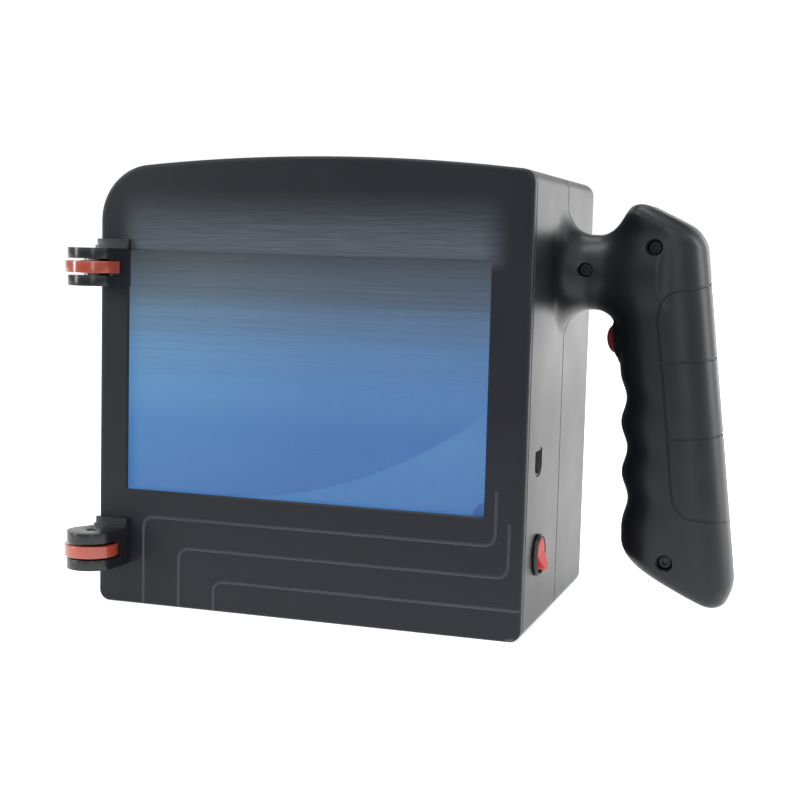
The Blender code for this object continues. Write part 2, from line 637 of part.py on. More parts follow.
def make_core():
    """The infrared detector core behind the lens, with its shutter flag and motor."""
    core = block("detector_core", (-26.0, 55.4, LENS_Z - 26.0), (26.0, 57.8, LENS_Z + 26.0), "aluminium")
    add(core, block("core_body", (-22.0, 34.0, LENS_Z - 19.0), (12.0, 56.0, LENS_Z + 19.0)))
    aperture = ((7.0, 48.0), (7.0, 60.0))
    cut(core, turned("core_aperture", aperture, (LENS_X, 0.0, LENS_Z), (0, 1, 0), count=20))
    pivot = (LENS_X + SHUTTER_ARM, 0.0, LENS_Z)
    cut(core, turned("core_pivot_hole", ((1.5, 54.0), (1.5, 60.0)), pivot, (0, 1, 0), count=12))
    for number in range(4):
        x, z = flange_screw_place(number)
        hole = ((1.8, 50.0), (1.8, 60.0))
        cut(core, turned(f"core_screw_hole_{number}", hole, (x, 0.0, z), (0, 1, 0), count=10))
    motor = ((4.0, 42.0), (4.0, 55.0), (1.0, 55.0), (1.0, 60.0))
    turned("shutter_motor", motor, pivot, (0, 1, 0), "steel", count=16)
    thick = 0.8
    reach = SHUTTER_ARM + 2.0
    flag = loft("shutter_flag", [circle(8.5, h, 20, -SHUTTER_ARM) for h in (0.0, thick)], "black_steel")
    add(flag, block("shutter_arm", (-reach, -2.2, 0.0), (2.0, 2.2, thick)))
    add(flag, loft("shutter_hub", [circle(2.8, h, 12) for h in (0.0, thick)]))
    cut(flag, loft("shutter_bore", [circle(1.15, h, 10) for h in (-1.0, 2.0)]))
    for step in flag.modifiers:
        step.object.parent = flag
    flag.location = Vector((pivot[0], 58.6, pivot[2])) * MM
    flag.rotation_mode = "XYZ"
    flag.rotation_euler = (math.radians(-90.0), -SHUTTER_OPEN, 0.0)


def make_bracket(side, at, reach, slot):
    """A roller's bracket: two rounded cheeks on a flange with two small ridges above it."""
    nose = arc((at[0], at[1]), CHEEK_RADIUS, 150.0, 350.0, 14)
    back = FRONT_Y - GAP
    flange = [(FLANGE_RIGHT, back - 3.2), (FLANGE_RIGHT, back), (FLANGE_LEFT, back)]
    rings = [[(x, y, at[2] + level) for x, y in nose + flange] for level in (-reach, reach)]
    bracket = loft(f"roller_bracket_{side}", rings, "black_plastic")
    base = at[2] + reach - 1.0
    low = block(f"ridge_low_{side}", (FLANGE_LEFT, back - 3.6, base), (FLANGE_RIGHT, back, at[2] + 9.7))
    high_from = (FLANGE_LEFT + 0.2, back - 2.0, base)
    high = block(f"ridge_high_{side}", high_from, (FLANGE_RIGHT - 0.2, back, at[2] + 12.6))
    add(bracket, low, high)
    mouth = ((WHEEL_RADIUS + 0.9, -slot), (WHEEL_RADIUS + 0.9, slot))
    cut(bracket, turned(f"wheel_slot_{side}", mouth, at, (0, 0, 1), count=24))
    bore = ((PIN_RADIUS + 0.15, -reach - 1.0), (PIN_RADIUS + 0.15, reach + 1.0))
    cut(bracket, turned(f"pin_hole_{side}", bore, at, (0, 0, 1), count=12))
    return bracket


def make_wheel(side, at, half, slot, reach):
    """A roller's wheel with its bush, pin and two washers; half is half of the wheel's width."""
    up = (0.0, 0.0, 1.0)
    bevel = 0.4
    hole = PIN_RADIUS + 0.15
    below = ((BUSH_RADIUS + 0.15, -half), (WHEEL_RADIUS - bevel, -half), (WHEEL_RADIUS, bevel - half))
    above = tuple((radius, -height) for radius, height in reversed(below))
    turned(f"roller_wheel_{side}", below + above, at, up, "roller_orange", True, 28)
    sleeve = ((hole, -half), (BUSH_RADIUS, -half), (BUSH_RADIUS, half), (hole, half))
    turned(f"roller_bush_{side}", sleeve, at, up, "steel", True, 12)
    pin = ((PIN_RADIUS, 0.6 - reach), (PIN_RADIUS, reach - 0.6))
    turned(f"roller_pin_{side}", pin, at, up, "steel", count=12)
    inner, outer = half + 0.15, slot - 0.15
    ring = ((hole, inner), (WASHER_RADIUS, inner), (WASHER_RADIUS, outer), (hole, outer))
    for sign, level in ((-1.0, "below"), (1.0, "above")):
        washer = f"roller_washer_{side}_{level}"
        turned(washer, ring, at, (0.0, 0.0, sign), "steel", True, 12)


def make_rollers():
    """Two guide rollers on the bezel's left edge. Gives back the screw holes the bezel needs."""
    holes = []
    half = WHEEL_WIDTH / 2
    slot = half + WHEEL_GAP
    reach = slot + CHEEK
    for side, z in ROLLER_HEIGHTS.items():
        at = (ROLLER_X, ROLLER_Y, z)
        bracket = make_bracket(side, at, reach, slot)
        make_wheel(side, at, half, slot, reach)
        for level, screw_z in (("top", z + 7.9), ("bottom", z - slot - CHEEK / 2)):
            head_at = (BRACKET_SCREW_X, BEZEL_BACK_Y - 0.4, screw_z)
            screw(f"bracket_screw_{side}_{level}", head_at, (0, 1, 0), 1.1, 4.6, 2.1, 1.7)
            hole = ((1.4, -7.0), (1.4, -2.2), (2.4, -2.2), (2.4, 2.0))
            hole_at = (BRACKET_SCREW_X, BEZEL_BACK_Y, screw_z)
            holes.append(turned(f"bezel_hole_{side}_{level}", hole, hole_at, (0, 1, 0), count=12))
            cut(bracket, holes[-1])
    return holes


def main():
    clear_scene()
    bezel, board_y = make_screen()
    make_electronics(board_y)
    make_shell("front_shell", -80.0, PARTING_Y - GAP / 2)
    make_shell("rear_shell", PARTING_Y + GAP / 2, 80.0)
    make_port()
    make_switch()
    make_trigger()
    make_lead()
    make_lens()
    make_core()
    cut(bezel, *make_rollers())
    make_screws()


main()
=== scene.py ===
"""The looks of a handheld thermal imaging camera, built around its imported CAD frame.

Everything is in the row frame: the origin is the middle of the housing's flat bottom, +Z is up,
the screen faces -Y, the lens +Y and the grip is at +X. Sizes are in millimetres and become metres
where a mesh is made.
"""

import math

import bmesh
import bpy
import numpy as np
from mathutils import Matrix, Vector


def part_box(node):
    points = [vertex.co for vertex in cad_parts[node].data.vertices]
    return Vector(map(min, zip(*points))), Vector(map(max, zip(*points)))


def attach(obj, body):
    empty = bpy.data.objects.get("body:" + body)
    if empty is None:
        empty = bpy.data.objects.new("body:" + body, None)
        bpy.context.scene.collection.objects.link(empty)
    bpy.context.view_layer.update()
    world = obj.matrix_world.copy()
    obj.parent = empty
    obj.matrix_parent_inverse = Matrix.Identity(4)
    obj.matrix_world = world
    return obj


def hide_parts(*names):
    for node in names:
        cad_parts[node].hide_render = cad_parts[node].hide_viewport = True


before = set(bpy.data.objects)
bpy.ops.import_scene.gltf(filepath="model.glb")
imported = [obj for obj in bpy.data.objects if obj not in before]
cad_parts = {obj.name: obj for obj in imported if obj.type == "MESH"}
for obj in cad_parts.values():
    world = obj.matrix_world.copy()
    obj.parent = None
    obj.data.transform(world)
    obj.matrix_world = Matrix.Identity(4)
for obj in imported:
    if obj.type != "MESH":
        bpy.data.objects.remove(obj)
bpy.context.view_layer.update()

MM = 0.001


def extent(node):
    """A CAD node's lowest and highest corners, in millimetres."""
    low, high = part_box(node)
    return low / MM, high / MM


def middle(node):
    low, high = extent(node)
    return (low + high) / 2


# ---- sizes taken from the frame
BEZEL_LOW, BEZEL_HIGH = extent("front_bezel")
SHELL_LOW, SHELL_HIGH = extent("front_shell")
REAR_LOW, REAR_HIGH = extent("rear_shell")
GLASS_LOW, GLASS_HIGH = extent("screen_glass")

HALF_WIDTH = BEZEL_HIGH.x
FRONT_Y = BEZEL_LOW.y
BEZEL_BACK_Y = BEZEL_HIGH.y
SHELL_FRONT_Y = SHELL_LOW.y
REAR_Y = REAR_HIGH.y
SPLIT_FRONT_Y = SHELL_HIGH.y
SPLIT_REAR_Y = REAR_LOW.y
PARTING_Y = (SPLIT_FRONT_Y + SPLIT_REAR_Y) / 2
CROWN_Z = BEZEL_HIGH.z

GLASS_MARGIN = 3.8
WINDOW_LOW = (GLASS_LOW.x + GLASS_MARGIN, GLASS_LOW.z + GLASS_MARGIN)
WINDOW_HIGH = (GLASS_HIGH.x - GLASS_MARGIN, GLASS_HIGH.z - GLASS_MARGIN)

# ---- sizes of the looks
CROWN_X = 7.5
CROWN_RADIUS = 852.0
LEFT_TOP_RADIUS = 25.0
RIGHT_TOP_RADIUS = 6.0
BOTTOM_RADIUS = 5.0
REAR_ROUNDING = 4.0
BEZEL_ROUNDING = 1.5
SUPPORT = 1.2  # flat strip kept beside each rounding, so that big faces shade flat

GROOVE_WIDTH = 0.8
GROOVE_DEPTH = 0.5
GROOVE_BEND = 5.0
GROOVES = ((-77.0, 41.0, (88.0, 64.7)), (-59.3, 27.7, (94.0, 51.0)), (-42.0, 14.0, None))

NECK_Z = 157.0
NECK_RADIUS = 17.0
FLARE_RADIUS = 13.0
NECK_JOIN_X = 110.0  # the turned flare ends here and the blended neck and grip begin
FLARE_RIM = 32.0
NECK_BLEND = 10.0
GRIP_HALF_DEPTH = 19.2
GRIP_POWER = 2.44  # of the superellipse across the grip
GRIP_ROUNDING = 9.0
GRIP_STEP = 1.0
SPLIT_CHAMFER = 0.4  # along the shells' parting line
FINGER_PITCH = 22.7
FINGER_WAVE = 1.35
FINGER_MID = (130.24, 78.6)
FINGER_SLOPE = -0.0485
PALM_MID = (165.7, 153.2)
PALM_SLOPE = -0.1219

TRIGGER_AT = np.array((125.2, PARTING_Y, 127.3))
TRIGGER_LEAN = math.radians(7.0)
TRIGGER_AXIS = np.array((-math.cos(TRIGGER_LEAN), 0.0, -math.sin(TRIGGER_LEAN)))

HANDLE_SCREWS = ("neck", "top", "foot")
CORNER_SCREWS = ("bottom_left", "bottom_right", "top_right", "top_left")


# ---- mesh tools
def add_object(name, points, faces, finish, sharp=32.0):
    """A mesh object from points in millimetres, smooth but for edges over an angle.

    finish is a key of FINISHES.
    """
    mesh = bpy.data.meshes.new(name)
    mesh.from_pydata([tuple(p) for p in np.asarray(points, float) * MM], [], faces)
    shape = bmesh.new()
    shape.from_mesh(mesh)
    bmesh.ops.recalc_face_normals(shape, faces=shape.faces)
    shape.to_mesh(mesh)
    shape.free()
    return link(name, mesh, finish, sharp)


def placed(name, data):
    """A new object in the scene."""
    made = bpy.data.objects.new(name, data)
    bpy.context.scene.collection.objects.link(made)
    return made


def link(name, mesh, finish=None, sharp=32.0):
    if finish:
        mesh.materials.append(FINISHES[finish])
    return shade(placed(name, mesh), sharp)


def ring_faces(rows, count, first=0, closed=False):
    """Quads between rings of equal count; with closed, the last ring meets the first."""
    faces = []
    for row in range(rows if closed else rows - 1):
        here = first + row * count
        there = first + (row + 1) % rows * count
        for k in range(count):
            after = (k + 1) % count
            faces.append((here + k, here + after, there + after, there + k))
    return faces


def loft(name, rings, finish=None, sharp=32.0, closed=False):
    """A solid through rings of equal count, capped at both ends unless it closes on itself."""
    count = len(rings[0])
    points = [point for ring in rings for point in ring]
    faces = ring_faces(len(rings), count, closed=closed)
    if not closed:
        faces.append(tuple(range(count)))
        faces.append(tuple(range(len(points) - count, len(points))))
    return add_object(name, points, faces, finish, sharp)


def rounded(outline, radius, steps=3, closed=True):
    """A 2-D outline with its corners rounded; an open one keeps its two end points."""
    points = [np.array(p, float) for p in outline]
    last = len(points) - 1
    found = []
    for k, corner in enumerate(points):
        if not closed and k in (0, last):
            found.append(tuple(corner))
            continue
        before, after = points[k - 1], points[(k + 1) % len(points)]
        to_before, to_after = before - corner, after - corner
        reach_before, reach_after = np.linalg.norm(to_before), np.linalg.norm(to_after)
        reach = min(radius, 0.45 * reach_before, 0.45 * reach_after)
        start = corner + to_before / reach_before * reach
        end = corner + to_after / reach_after * reach
        for step in range(steps + 1):
            t = step / steps
            found.append(tuple((1 - t) ** 2 * start + 2 * t * (1 - t) * corner + t**2 * end))
    return found


def turned_points(profile, count):
    """Rings of points for a profile of (radius, height), about the origin's +Z."""
    angles = np.arange(count) * math.tau / count
    x, y = np.cos(angles), np.sin(angles)
    return [np.column_stack((r * x, r * y, np.full(count, h))) for r, h in profile]


def turned(name, profile, at, axis, finish=None, closed=False, count=64, rounding=0.0, sharp=40.0):
    """A lathe-turned piece at a point, with its profile's heights along an axis."""
    if rounding:
        profile = rounded(profile, rounding, closed=closed)
    made = loft(name, turned_points(profile, count), finish, sharp, closed)
    return put(made, at, axis)


def put(made, at, axis=(0.0, 0.0, 1.0)):
    """Move a piece's mesh so that its origin is at a point and its +Z along an axis."""
    turn = Vector((0.0, 0.0, 1.0)).rotation_difference(Vector(axis)).to_matrix().to_4x4()
    made.data.transform(Matrix.Translation(Vector(at) * MM) @ turn)
    return made


def block(name, low, high, finish=None):
    """A box between two corners."""
    return loft(name, [[(x, y, z) for x, y in rectangle(low, high)] for z in (low[2], high[2])], finish)


def boolean(made, cutters, operation="DIFFERENCE"):
    """Apply exact Booleans to a piece's mesh and remove the cutters."""
    for cutter in cutters:
        step = made.modifiers.new("step", "BOOLEAN")
        step.operation = operation
        step.object = cutter
        step.solver = "EXACT"
    settle(made)
    for cutter in cutters:
        bpy.data.objects.remove(cutter)
    return made


def settle(made):
    """Turn a piece's modifiers into its mesh."""
    graph = bpy.context.evaluated_depsgraph_get()
    fresh = bpy.data.meshes.new_from_object(made.evaluated_get(graph))
    made.modifiers.clear()
    old = made.data
    made.data = fresh
    bpy.data.meshes.remove(old)
    return made


def shade(made, sharp=32.0):
    made.data.shade_smooth()
    made.data.set_sharp_from_angle(angle=math.radians(sharp))
    return made


def soften(made, width, steps=2, angle=35.0):
    """Round the piece's edges that are sharper than an angle."""
    bevel = made.modifiers.new("edges", "BEVEL")
    bevel.width = width * MM
    bevel.segments = steps
    bevel.limit_method = "ANGLE"
    bevel.angle_limit = math.radians(angle)
    bevel.miter_outer = "MITER_ARC"
    bevel.use_clamp_overlap = True
    settle(made)
    return shade(made, 50.0)


def arc(centre, radius, start, end, steps):
    angles = np.radians(np.linspace(start, end, steps + 1))
    return [(centre[0] + radius * math.cos(a), centre[1] + radius * math.sin(a)) for a in angles]


def rectangle(low, high, by=0.0):
    left, right, foot, top = low[0] - by, high[0] + by, low[1] - by, high[1] + by
    return [(left, foot), (right, foot), (right, top), (left, top)]


def on_y(outline, y):
    return [(x, y, z) for x, z in outline]


def stroke(path, width):
    """The outline of a line of a given width along a path of (x, z) points."""
    left, right = [], []
    for k, point in enumerate(path):
        before = Vector(path[max(k - 1, 0)])
        after = Vector(path[min(k + 1, len(path) - 1)])
        along = (after - before).normalized()
        side = Vector((-along.y, along.x)) * width / 2
        left.append(tuple(Vector(point) + side))
        right.append(tuple(Vector(point) - side))
    return left + right[::-1]


def tube(name, path, radius, finish=None, count=10, closed=False):
    """A round tube along points."""
    path = np.asarray(path, float)
    rings = []
    side = None
    for k, point in enumerate(path):
        before = path[k - 1] if closed or k else path[k]
        after = path[(k + 1) % len(path)] if closed or k < len(path) - 1 else path[k]
        along = (after - before) / np.linalg.norm(after - before)
        if side is None:
            side = np.cross(along, (0.3, 0.5, 0.8))
        side = side - along * side.dot(along)
        side /= np.linalg.norm(side)
        other = np.cross(along, side)
        turn = np.arange(count) * math.tau / count
        rings.append(point + radius * (np.outer(np.cos(turn), side) + np.outer(np.sin(turn), other)))
    return loft(name, rings, finish, closed=closed)


# ---- housing outline
def housing_outline(inset):
    """The housing from the front, counter-clockwise from the foot's right corner.

    Each rounding has a support point beside it on the flat, so both flats next to it stay flat.
    """
    crown_z = CROWN_Z - CROWN_RADIUS

    def corner(side, radius):
        x = side * (HALF_WIDTH - radius)
        reach = CROWN_RADIUS - radius
        z = crown_z + math.sqrt(reach * reach - (x - CROWN_X) ** 2)
        return (x, z), math.degrees(math.atan2(z - crown_z, x - CROWN_X))

    right, right_angle = corner(1.0, RIGHT_TOP_RADIUS)
    left, left_angle = corner(-1.0, LEFT_TOP_RADIUS)
    foot_x = HALF_WIDTH - BOTTOM_RADIUS
    foot = BOTTOM_RADIUS - inset
    wall = HALF_WIDTH - inset
    found = [(foot_x - SUPPORT, inset)]
    found += arc((foot_x, BOTTOM_RADIUS), foot, -90.0, 0.0, 7)
    found += [(wall, BOTTOM_RADIUS + SUPPORT), (wall, right[1] - SUPPORT)]
    found += arc(right, RIGHT_TOP_RADIUS - inset, 0.0, right_angle, 8)
    found += arc((CROWN_X, crown_z), CROWN_RADIUS - inset, right_angle, left_angle, 32)[1:-1]
    found += arc(left, LEFT_TOP_RADIUS - inset, left_angle, 180.0, 18)
    found += [(-wall, left[1] - SUPPORT), (-wall, BOTTOM_RADIUS + SUPPORT)]
    found += arc((-foot_x, BOTTOM_RADIUS), foot, 180.0, 270.0, 7)
    found.append((-foot_x + SUPPORT, inset))
    return found


WALL_FOOT = 9  # index of the outline's support point at the right wall's foot


def quarter_round(edge_y, radius, outward, steps=7):
    """Stations of (y, inset) that round an edge; outward is -1 at the front, +1 at the rear."""
    stations = []
    for k in range(steps + 1):
        angle = math.radians(90.0 * k / steps)
        y = edge_y - outward * radius * (1.0 - math.sin(angle))
        stations.append((y, radius * (1.0 - math.cos(angle))))
    return stations


# ---- the grip as a distance field
def finger_profile():
    """The finger side's x against z: straight parts, three finger valleys, and softened joins."""
    z = np.arange(-10.0, 215.0, 0.5)
    above = ((210.0, 124.9), (177.0, 124.9), (160.0, 124.7), (140.0, 124.3), (124.0, 126.0))
    ridge_top = FINGER_MID[1] + 1.5 * FINGER_PITCH
    ridge_foot = FINGER_MID[1] - 1.5 * FINGER_PITCH
    line = FINGER_MID[0] + FINGER_SLOPE * (z - FINGER_MID[1])
    wave = FINGER_WAVE * np.cos(math.tau * (z - FINGER_MID[1]) / FINGER_PITCH)
    x = line + wave
    knots = [(ridge_top, line[np.searchsorted(z, ridge_top)] - FINGER_WAVE), *above[::-1]]
    x = np.where(z > ridge_top, np.interp(z, *zip(*knots)), x)
    foot = np.interp(z, (-10.0, 33.0, ridge_foot), (131.3, 130.5, 130.2))
    x = np.where(z < ridge_foot, foot, x)
    kernel = np.exp(-0.5 * (np.arange(-8, 9) * 0.5 / 1.1) ** 2)
    padded = np.pad(x, 8, mode="edge")
    return z, np.convolve(padded, kernel / kernel.sum(), mode="valid")


FINGER_Z, FINGER_X = finger_profile()


def palm_x(z):
    return PALM_MID[0] + PALM_SLOPE * (z - PALM_MID[1])


def round_join(a, b, radius):
    """Union of two distance fields with a circular fillet."""
    bend = np.sqrt(np.maximum(radius - a, 0.0) ** 2 + np.maximum(radius - b, 0.0) ** 2)
    return np.maximum(radius, np.minimum(a, b)) - bend


def round_cut(a, b, radius):
    """Intersection of two distance fields with a rounded edge."""
    return -round_join(-a, -b, radius)


def slope_through(first, second):
    """Unit normal and offset of the upright plane through two (x, z) points, facing left of the way."""
    along = np.subtract(second, first) / np.linalg.norm(np.subtract(second, first))
    normal = np.array((-along[1], along[0]))
    return normal, normal.dot(first)


GRIP_TOP = slope_through((134.5, 189.0), (158.5, 177.6))
GRIP_FOOT = (
    slope_through((149.5, 14.2), (136.5, 22.6)),
    slope_through((171.5, 6.3), (149.5, 14.2)),
)
GRIP_SHOULDER = (np.array((-0.534, 0.845)), 88.6)
GRIP_HEEL = (np.array((0.624, -0.781)), 104.2)


def beyond(plane, x, z):
    normal, offset = plane
    return normal[0] * x + normal[1] * z - offset


def grip_field(points):
    """Distance in millimetres to the surface of neck and grip, negative inside."""
    x, y, z = points.T
    finger = np.interp(z, FINGER_Z, FINGER_X)
    half = (palm_x(z) - finger) / 2
    across = np.abs(x - finger - half) / half
    deep = np.abs(y - PARTING_Y) / GRIP_HALF_DEPTH
    level = np.maximum(across**GRIP_POWER + deep**GRIP_POWER, 1e-6) ** (1 / GRIP_POWER)
    steep_x = (across / level) ** (GRIP_POWER - 1) / half
    steep_y = (deep / level) ** (GRIP_POWER - 1) / GRIP_HALF_DEPTH
    steepness = np.hypot(steep_x, steep_y)
    body = (level - 1.0) / np.maximum(steepness, 1e-3)
    foot = round_cut(beyond(GRIP_FOOT[0], x, z), beyond(GRIP_FOOT[1], x, z), 16.0)
    foot = round_cut(foot, beyond(GRIP_HEEL, x, z), 7.0)
    top = round_cut(beyond(GRIP_TOP, x, z), beyond(GRIP_SHOULDER, x, z), 5.0)
    grip = round_cut(round_cut(body, top, 6.5), foot, GRIP_ROUNDING)
    rho = np.hypot(y - PARTING_Y, z - NECK_Z)
    neck = np.maximum(rho - flare_radius(x), x - 140.0)
    found = round_join(grip, neck, NECK_BLEND)
    offset = points - TRIGGER_AT
    height = offset @ TRIGGER_AXIS
    from_axis = np.linalg.norm(offset - np.outer(height, TRIGGER_AXIS), axis=1)
    seat = np.maximum(np.maximum(from_axis - 9.8, height + 0.3), -8.0 - height)
    found = round_join(found, seat, 2.5)
    pocket = np.maximum(from_axis - 9.5, -0.3 - height)
    return round_cut(found, -pocket, 0.8)


def flare_radius(x):
    """The neck's radius against x: a circular fillet off the side wall, then a tube."""
    along = np.clip(HALF_WIDTH + FLARE_RADIUS - x, 0.0, FLARE_RADIUS)
    return NECK_RADIUS + FLARE_RADIUS - np.sqrt(FLARE_RADIUS**2 - along**2)


def to_surface(points, rounds=3):
    """Move points along the field's slope onto the grip's surface."""
    points = np.array(points, float)
    for _ in range(rounds):
        here = grip_field(points)
        slope = grip_slope(points)
        points -= (here / np.maximum((slope**2).sum(1), 0.05))[:, None] * slope
    return points


def grip_slope(points):
    reach = 0.05
    slope = np.empty_like(points)
    for axis in range(3):
        shift = np.zeros(3)
        shift[axis] = reach
        slope[:, axis] = (grip_field(points + shift) - grip_field(points - shift)) / (2 * reach)
    return slope


def surface_net(field, low, step):
    """Points and quads of a sampled field's zero level. The net stays open where the grid ends."""
    inside = field < 0.0
    size = np.array(inside.shape) - 1
    corners = np.zeros(size, int)
    for corner in np.ndindex(2, 2, 2):
        span = tuple(slice(c, c + n) for c, n in zip(corner, size))
        corners += inside[span]
    active = (corners > 0) & (corners < 8)
    number = np.full(active.shape, -1)
    number[active] = np.arange(active.sum())
    points = low + (np.argwhere(active) + 0.5) * step
    quads = []
    for axis in range(3):
        one, two = (axis + 1) % 3, (axis + 2) % 3
        inner = [slice(1, -1)] * 3
        first, second = list(inner), list(inner)
        first[axis], second[axis] = slice(0, -1), slice(1, None)
        start = inside[tuple(first)]
        crossing = np.argwhere(start != inside[tuple(second)])
        outward = start[tuple(crossing.T)]
        crossing[:, one] += 1
        crossing[:, two] += 1

        def cell(back_one, back_two):
            place = crossing.copy()
            place[:, one] -= back_one
            place[:, two] -= back_two
            return number[tuple(place.T)]

        quad = np.column_stack((cell(1, 1), cell(0, 1), cell(0, 0), cell(1, 0)))
        quads.append(np.where(outward[:, None], quad, quad[:, ::-1]))
    return points, np.concatenate(quads)


def relaxed(points, quads, held):
    """Even out the net along the surface: neighbours' means, then back onto the surface."""
    edges = np.concatenate([quads[:, (k, (k + 1) % 4)] for k in range(4)])
    for _ in range(3):
        total = np.zeros_like(points)
        share = np.zeros(len(points))
        for a, b in ((0, 1), (1, 0)):
            np.add.at(total, edges[:, a], points[edges[:, b]])
            np.add.at(share, edges[:, a], 1.0)
        moved = 0.5 * points + 0.5 * total / share[:, None]
        points = np.where(held[:, None], points, to_surface(moved, 2))
    return points


def grip_net():
    """The neck and grip from NECK_JOIN_X on, open at the neck, with the open ring's numbers in order."""
    step = GRIP_STEP
    low = np.array((NECK_JOIN_X - step / 2, PARTING_Y - 22.4, -0.5))
    size = (int(77 / step), int(45 / step), int(194 / step))
    axes = [low[k] + step * np.arange(size[k]) for k in range(3)]
    grid = np.stack(np.meshgrid(*axes, indexing="ij"), -1).reshape(-1, 3)
    field = grip_field(grid).reshape(size)
    field[0] = field[1]  # so that the first layer of cells holds the open ring only
    points, quads = surface_net(field, low, step)
    held = np.abs(points[:, 0] - NECK_JOIN_X) < 0.1 * step
    points = to_surface(points)
    points = relaxed(points, quads, held)
    ring = np.flatnonzero(held)
    angle = np.arctan2(points[ring, 2] - NECK_Z, points[ring, 1] - PARTING_Y)
    order = np.argsort(angle)
    ring, angle = ring[order], angle[order]
    radius = float(flare_radius(np.array(NECK_JOIN_X)))
    y, z = PARTING_Y + radius * np.cos(angle), NECK_Z + radius * np.sin(angle)
    points[ring] = np.column_stack((np.full(len(ring), NECK_JOIN_X), y, z))
    return points, quads, ring, angle


# ---- the two shells
def whole_body(name):
    """Housing, flared neck and grip as one closed skin, before it is cut into two shells."""
    front = quarter_round(SHELL_FRONT_Y, 0.35, -1.0, 2)
    rear = quarter_round(REAR_Y, REAR_ROUNDING, 1.0)
    wall_from, wall_to = SHELL_FRONT_Y + SUPPORT, REAR_Y - REAR_ROUNDING - SUPPORT
    stations = front[::-1] + [(wall_from, 0.0), (wall_to, 0.0)] + rear
    stations.append((REAR_Y, REAR_ROUNDING + 0.9))
    shape = bmesh.new()
    rings = [[shape.verts.new(p) for p in on_y(housing_outline(inset), y)] for y, inset in stations]
    count = len(rings[0])
    wall_row = len(front)
    for row in range(len(rings) - 1):
        for k in range(count):
            if row == wall_row and k == WALL_FOOT:
                continue
            after = (k + 1) % count
            shape.faces.new((rings[row][k], rings[row][after], rings[row + 1][after], rings[row + 1][k]))
    shape.faces.new(rings[0])
    shape.faces.new(rings[-1][::-1])

    points, quads, open_ring, angles = grip_net()
    grip = [shape.verts.new(p) for p in points]
    for quad in quads:
        shape.faces.new([grip[k] for k in quad])
    last = [grip[k] for k in open_ring]
    steps = 12
    sections = []
    for k in range(1, steps + 1):
        x = NECK_JOIN_X + (HALF_WIDTH - NECK_JOIN_X) * math.sin(math.radians(90.0 * k / steps))
        sections.append((x, float(flare_radius(np.array(x)))))
    sections.append((HALF_WIDTH, FLARE_RIM))
    for x, radius in sections:
        ring = []
        for angle in angles:
            y, z = PARTING_Y + radius * math.cos(angle), NECK_Z + radius * math.sin(angle)
            ring.append(shape.verts.new((x, y, z)))
        for k in range(len(ring)):
            after = (k + 1) % len(ring)
            shape.faces.new((last[k], last[after], ring[after], ring[k]))
        last = ring

    here, there = rings[wall_row], rings[wall_row + 1]
    frame_corners = (here[WALL_FOOT], here[WALL_FOOT + 1], there[WALL_FOOT + 1], there[WALL_FOOT])
    edges = [shape.edges.get((a, b)) for a, b in zip(frame_corners, frame_corners[1:] + frame_corners[:1])]
    edges += [shape.edges.get((a, b)) for a, b in zip(last, last[1:] + last[:1])]
    bmesh.ops.triangle_fill(shape, edges=edges, use_beauty=True, normal=(1.0, 0.0, 0.0))
    bmesh.ops.scale(shape, vec=(MM, MM, MM), verts=shape.verts)
    bmesh.ops.recalc_face_normals(shape, faces=shape.faces)
    mesh = bpy.data.meshes.new(name)
    shape.to_mesh(mesh)
    shape.free()
    return link(name, mesh)


def seat_holes():
    """Cutters for the corner screws' deep holes and the three in the handle."""
    cutters = []
    for corner in CORNER_SCREWS:
        at = middle(f"shell_screw_{corner}")
        profile = ((3.3, 15.0), (3.3, REAR_Y - 0.6), (4.1, REAR_Y + 0.2), (4.1, REAR_Y + 1.0))
        cutters.append(turned("hole", profile, (at.x, 0.0, at.z), (0, 1, 0), count=48))
    for spot in HANDLE_SCREWS:
        low, high = extent(f"handle_screw_{spot}")
        face = low.y - 2.4
        profile = ((3.3, face + 5.0), (3.3, face + 0.2), (3.8, face - 0.3), (3.8, face - 6.0))
        at = ((low.x + high.x) / 2, 0.0, (low.z + high.z) / 2)
        cutters.append(turned("hole", profile, at, (0, 1, 0), count=48))
    return cutters


def palm_grooves():
    """Tubes along the grip's surface that cut the palm panel's outline and its two cross lines."""
    outline = ((151.5, 149.6), (146.3, 145.6), (144.8, 138.3), (148.6, 110.2), (152.0, 81.5), (154.2, 60.8))
    outline += ((156.5, 53.6), (162.0, 49.9))
    cutters = []

    def around(start, end_z):
        """Points from the front, round the palm, to the rear at the same height."""
        edge = palm_x(end_z)
        half = []
        for k in range(25):
            t = k / 24
            x = start[0] + (edge + 1.0 - start[0]) * math.sin(t * math.pi / 2)
            y = PARTING_Y - (GRIP_HALF_DEPTH + 1.0) * math.cos(t * math.pi / 2)
            half.append((x, y, start[1] + (end_z - start[1]) * t))
        return half + [(x, 2 * PARTING_Y - y, z) for x, y, z in half[-2::-1]]

    side = rounded(outline, 4.0, 5, closed=False)
    front = [(x, PARTING_Y - GRIP_HALF_DEPTH - 0.5, z) for x, z in side]
    top = around(side[0], 153.4)
    foot = around(side[-1], 48.0)
    rear = [(x, 2 * PARTING_Y - y, z) for x, y, z in front]
    loop = top[::-1] + front[1:-1] + foot + rear[1:-1][::-1]
    lines = ((loop, True), (around((147.4, 118.2), 121.0), False), (around((151.6, 84.6), 87.2), False))
    for path, closed in lines:
        points = even(np.array(path), 0.8, closed)
        points = to_surface(points, 6)
        points = smoothed(points, closed)
        points = to_surface(points, 3)
        cutters.append(tube("groove", points, 0.52, closed=closed))
    return cutters


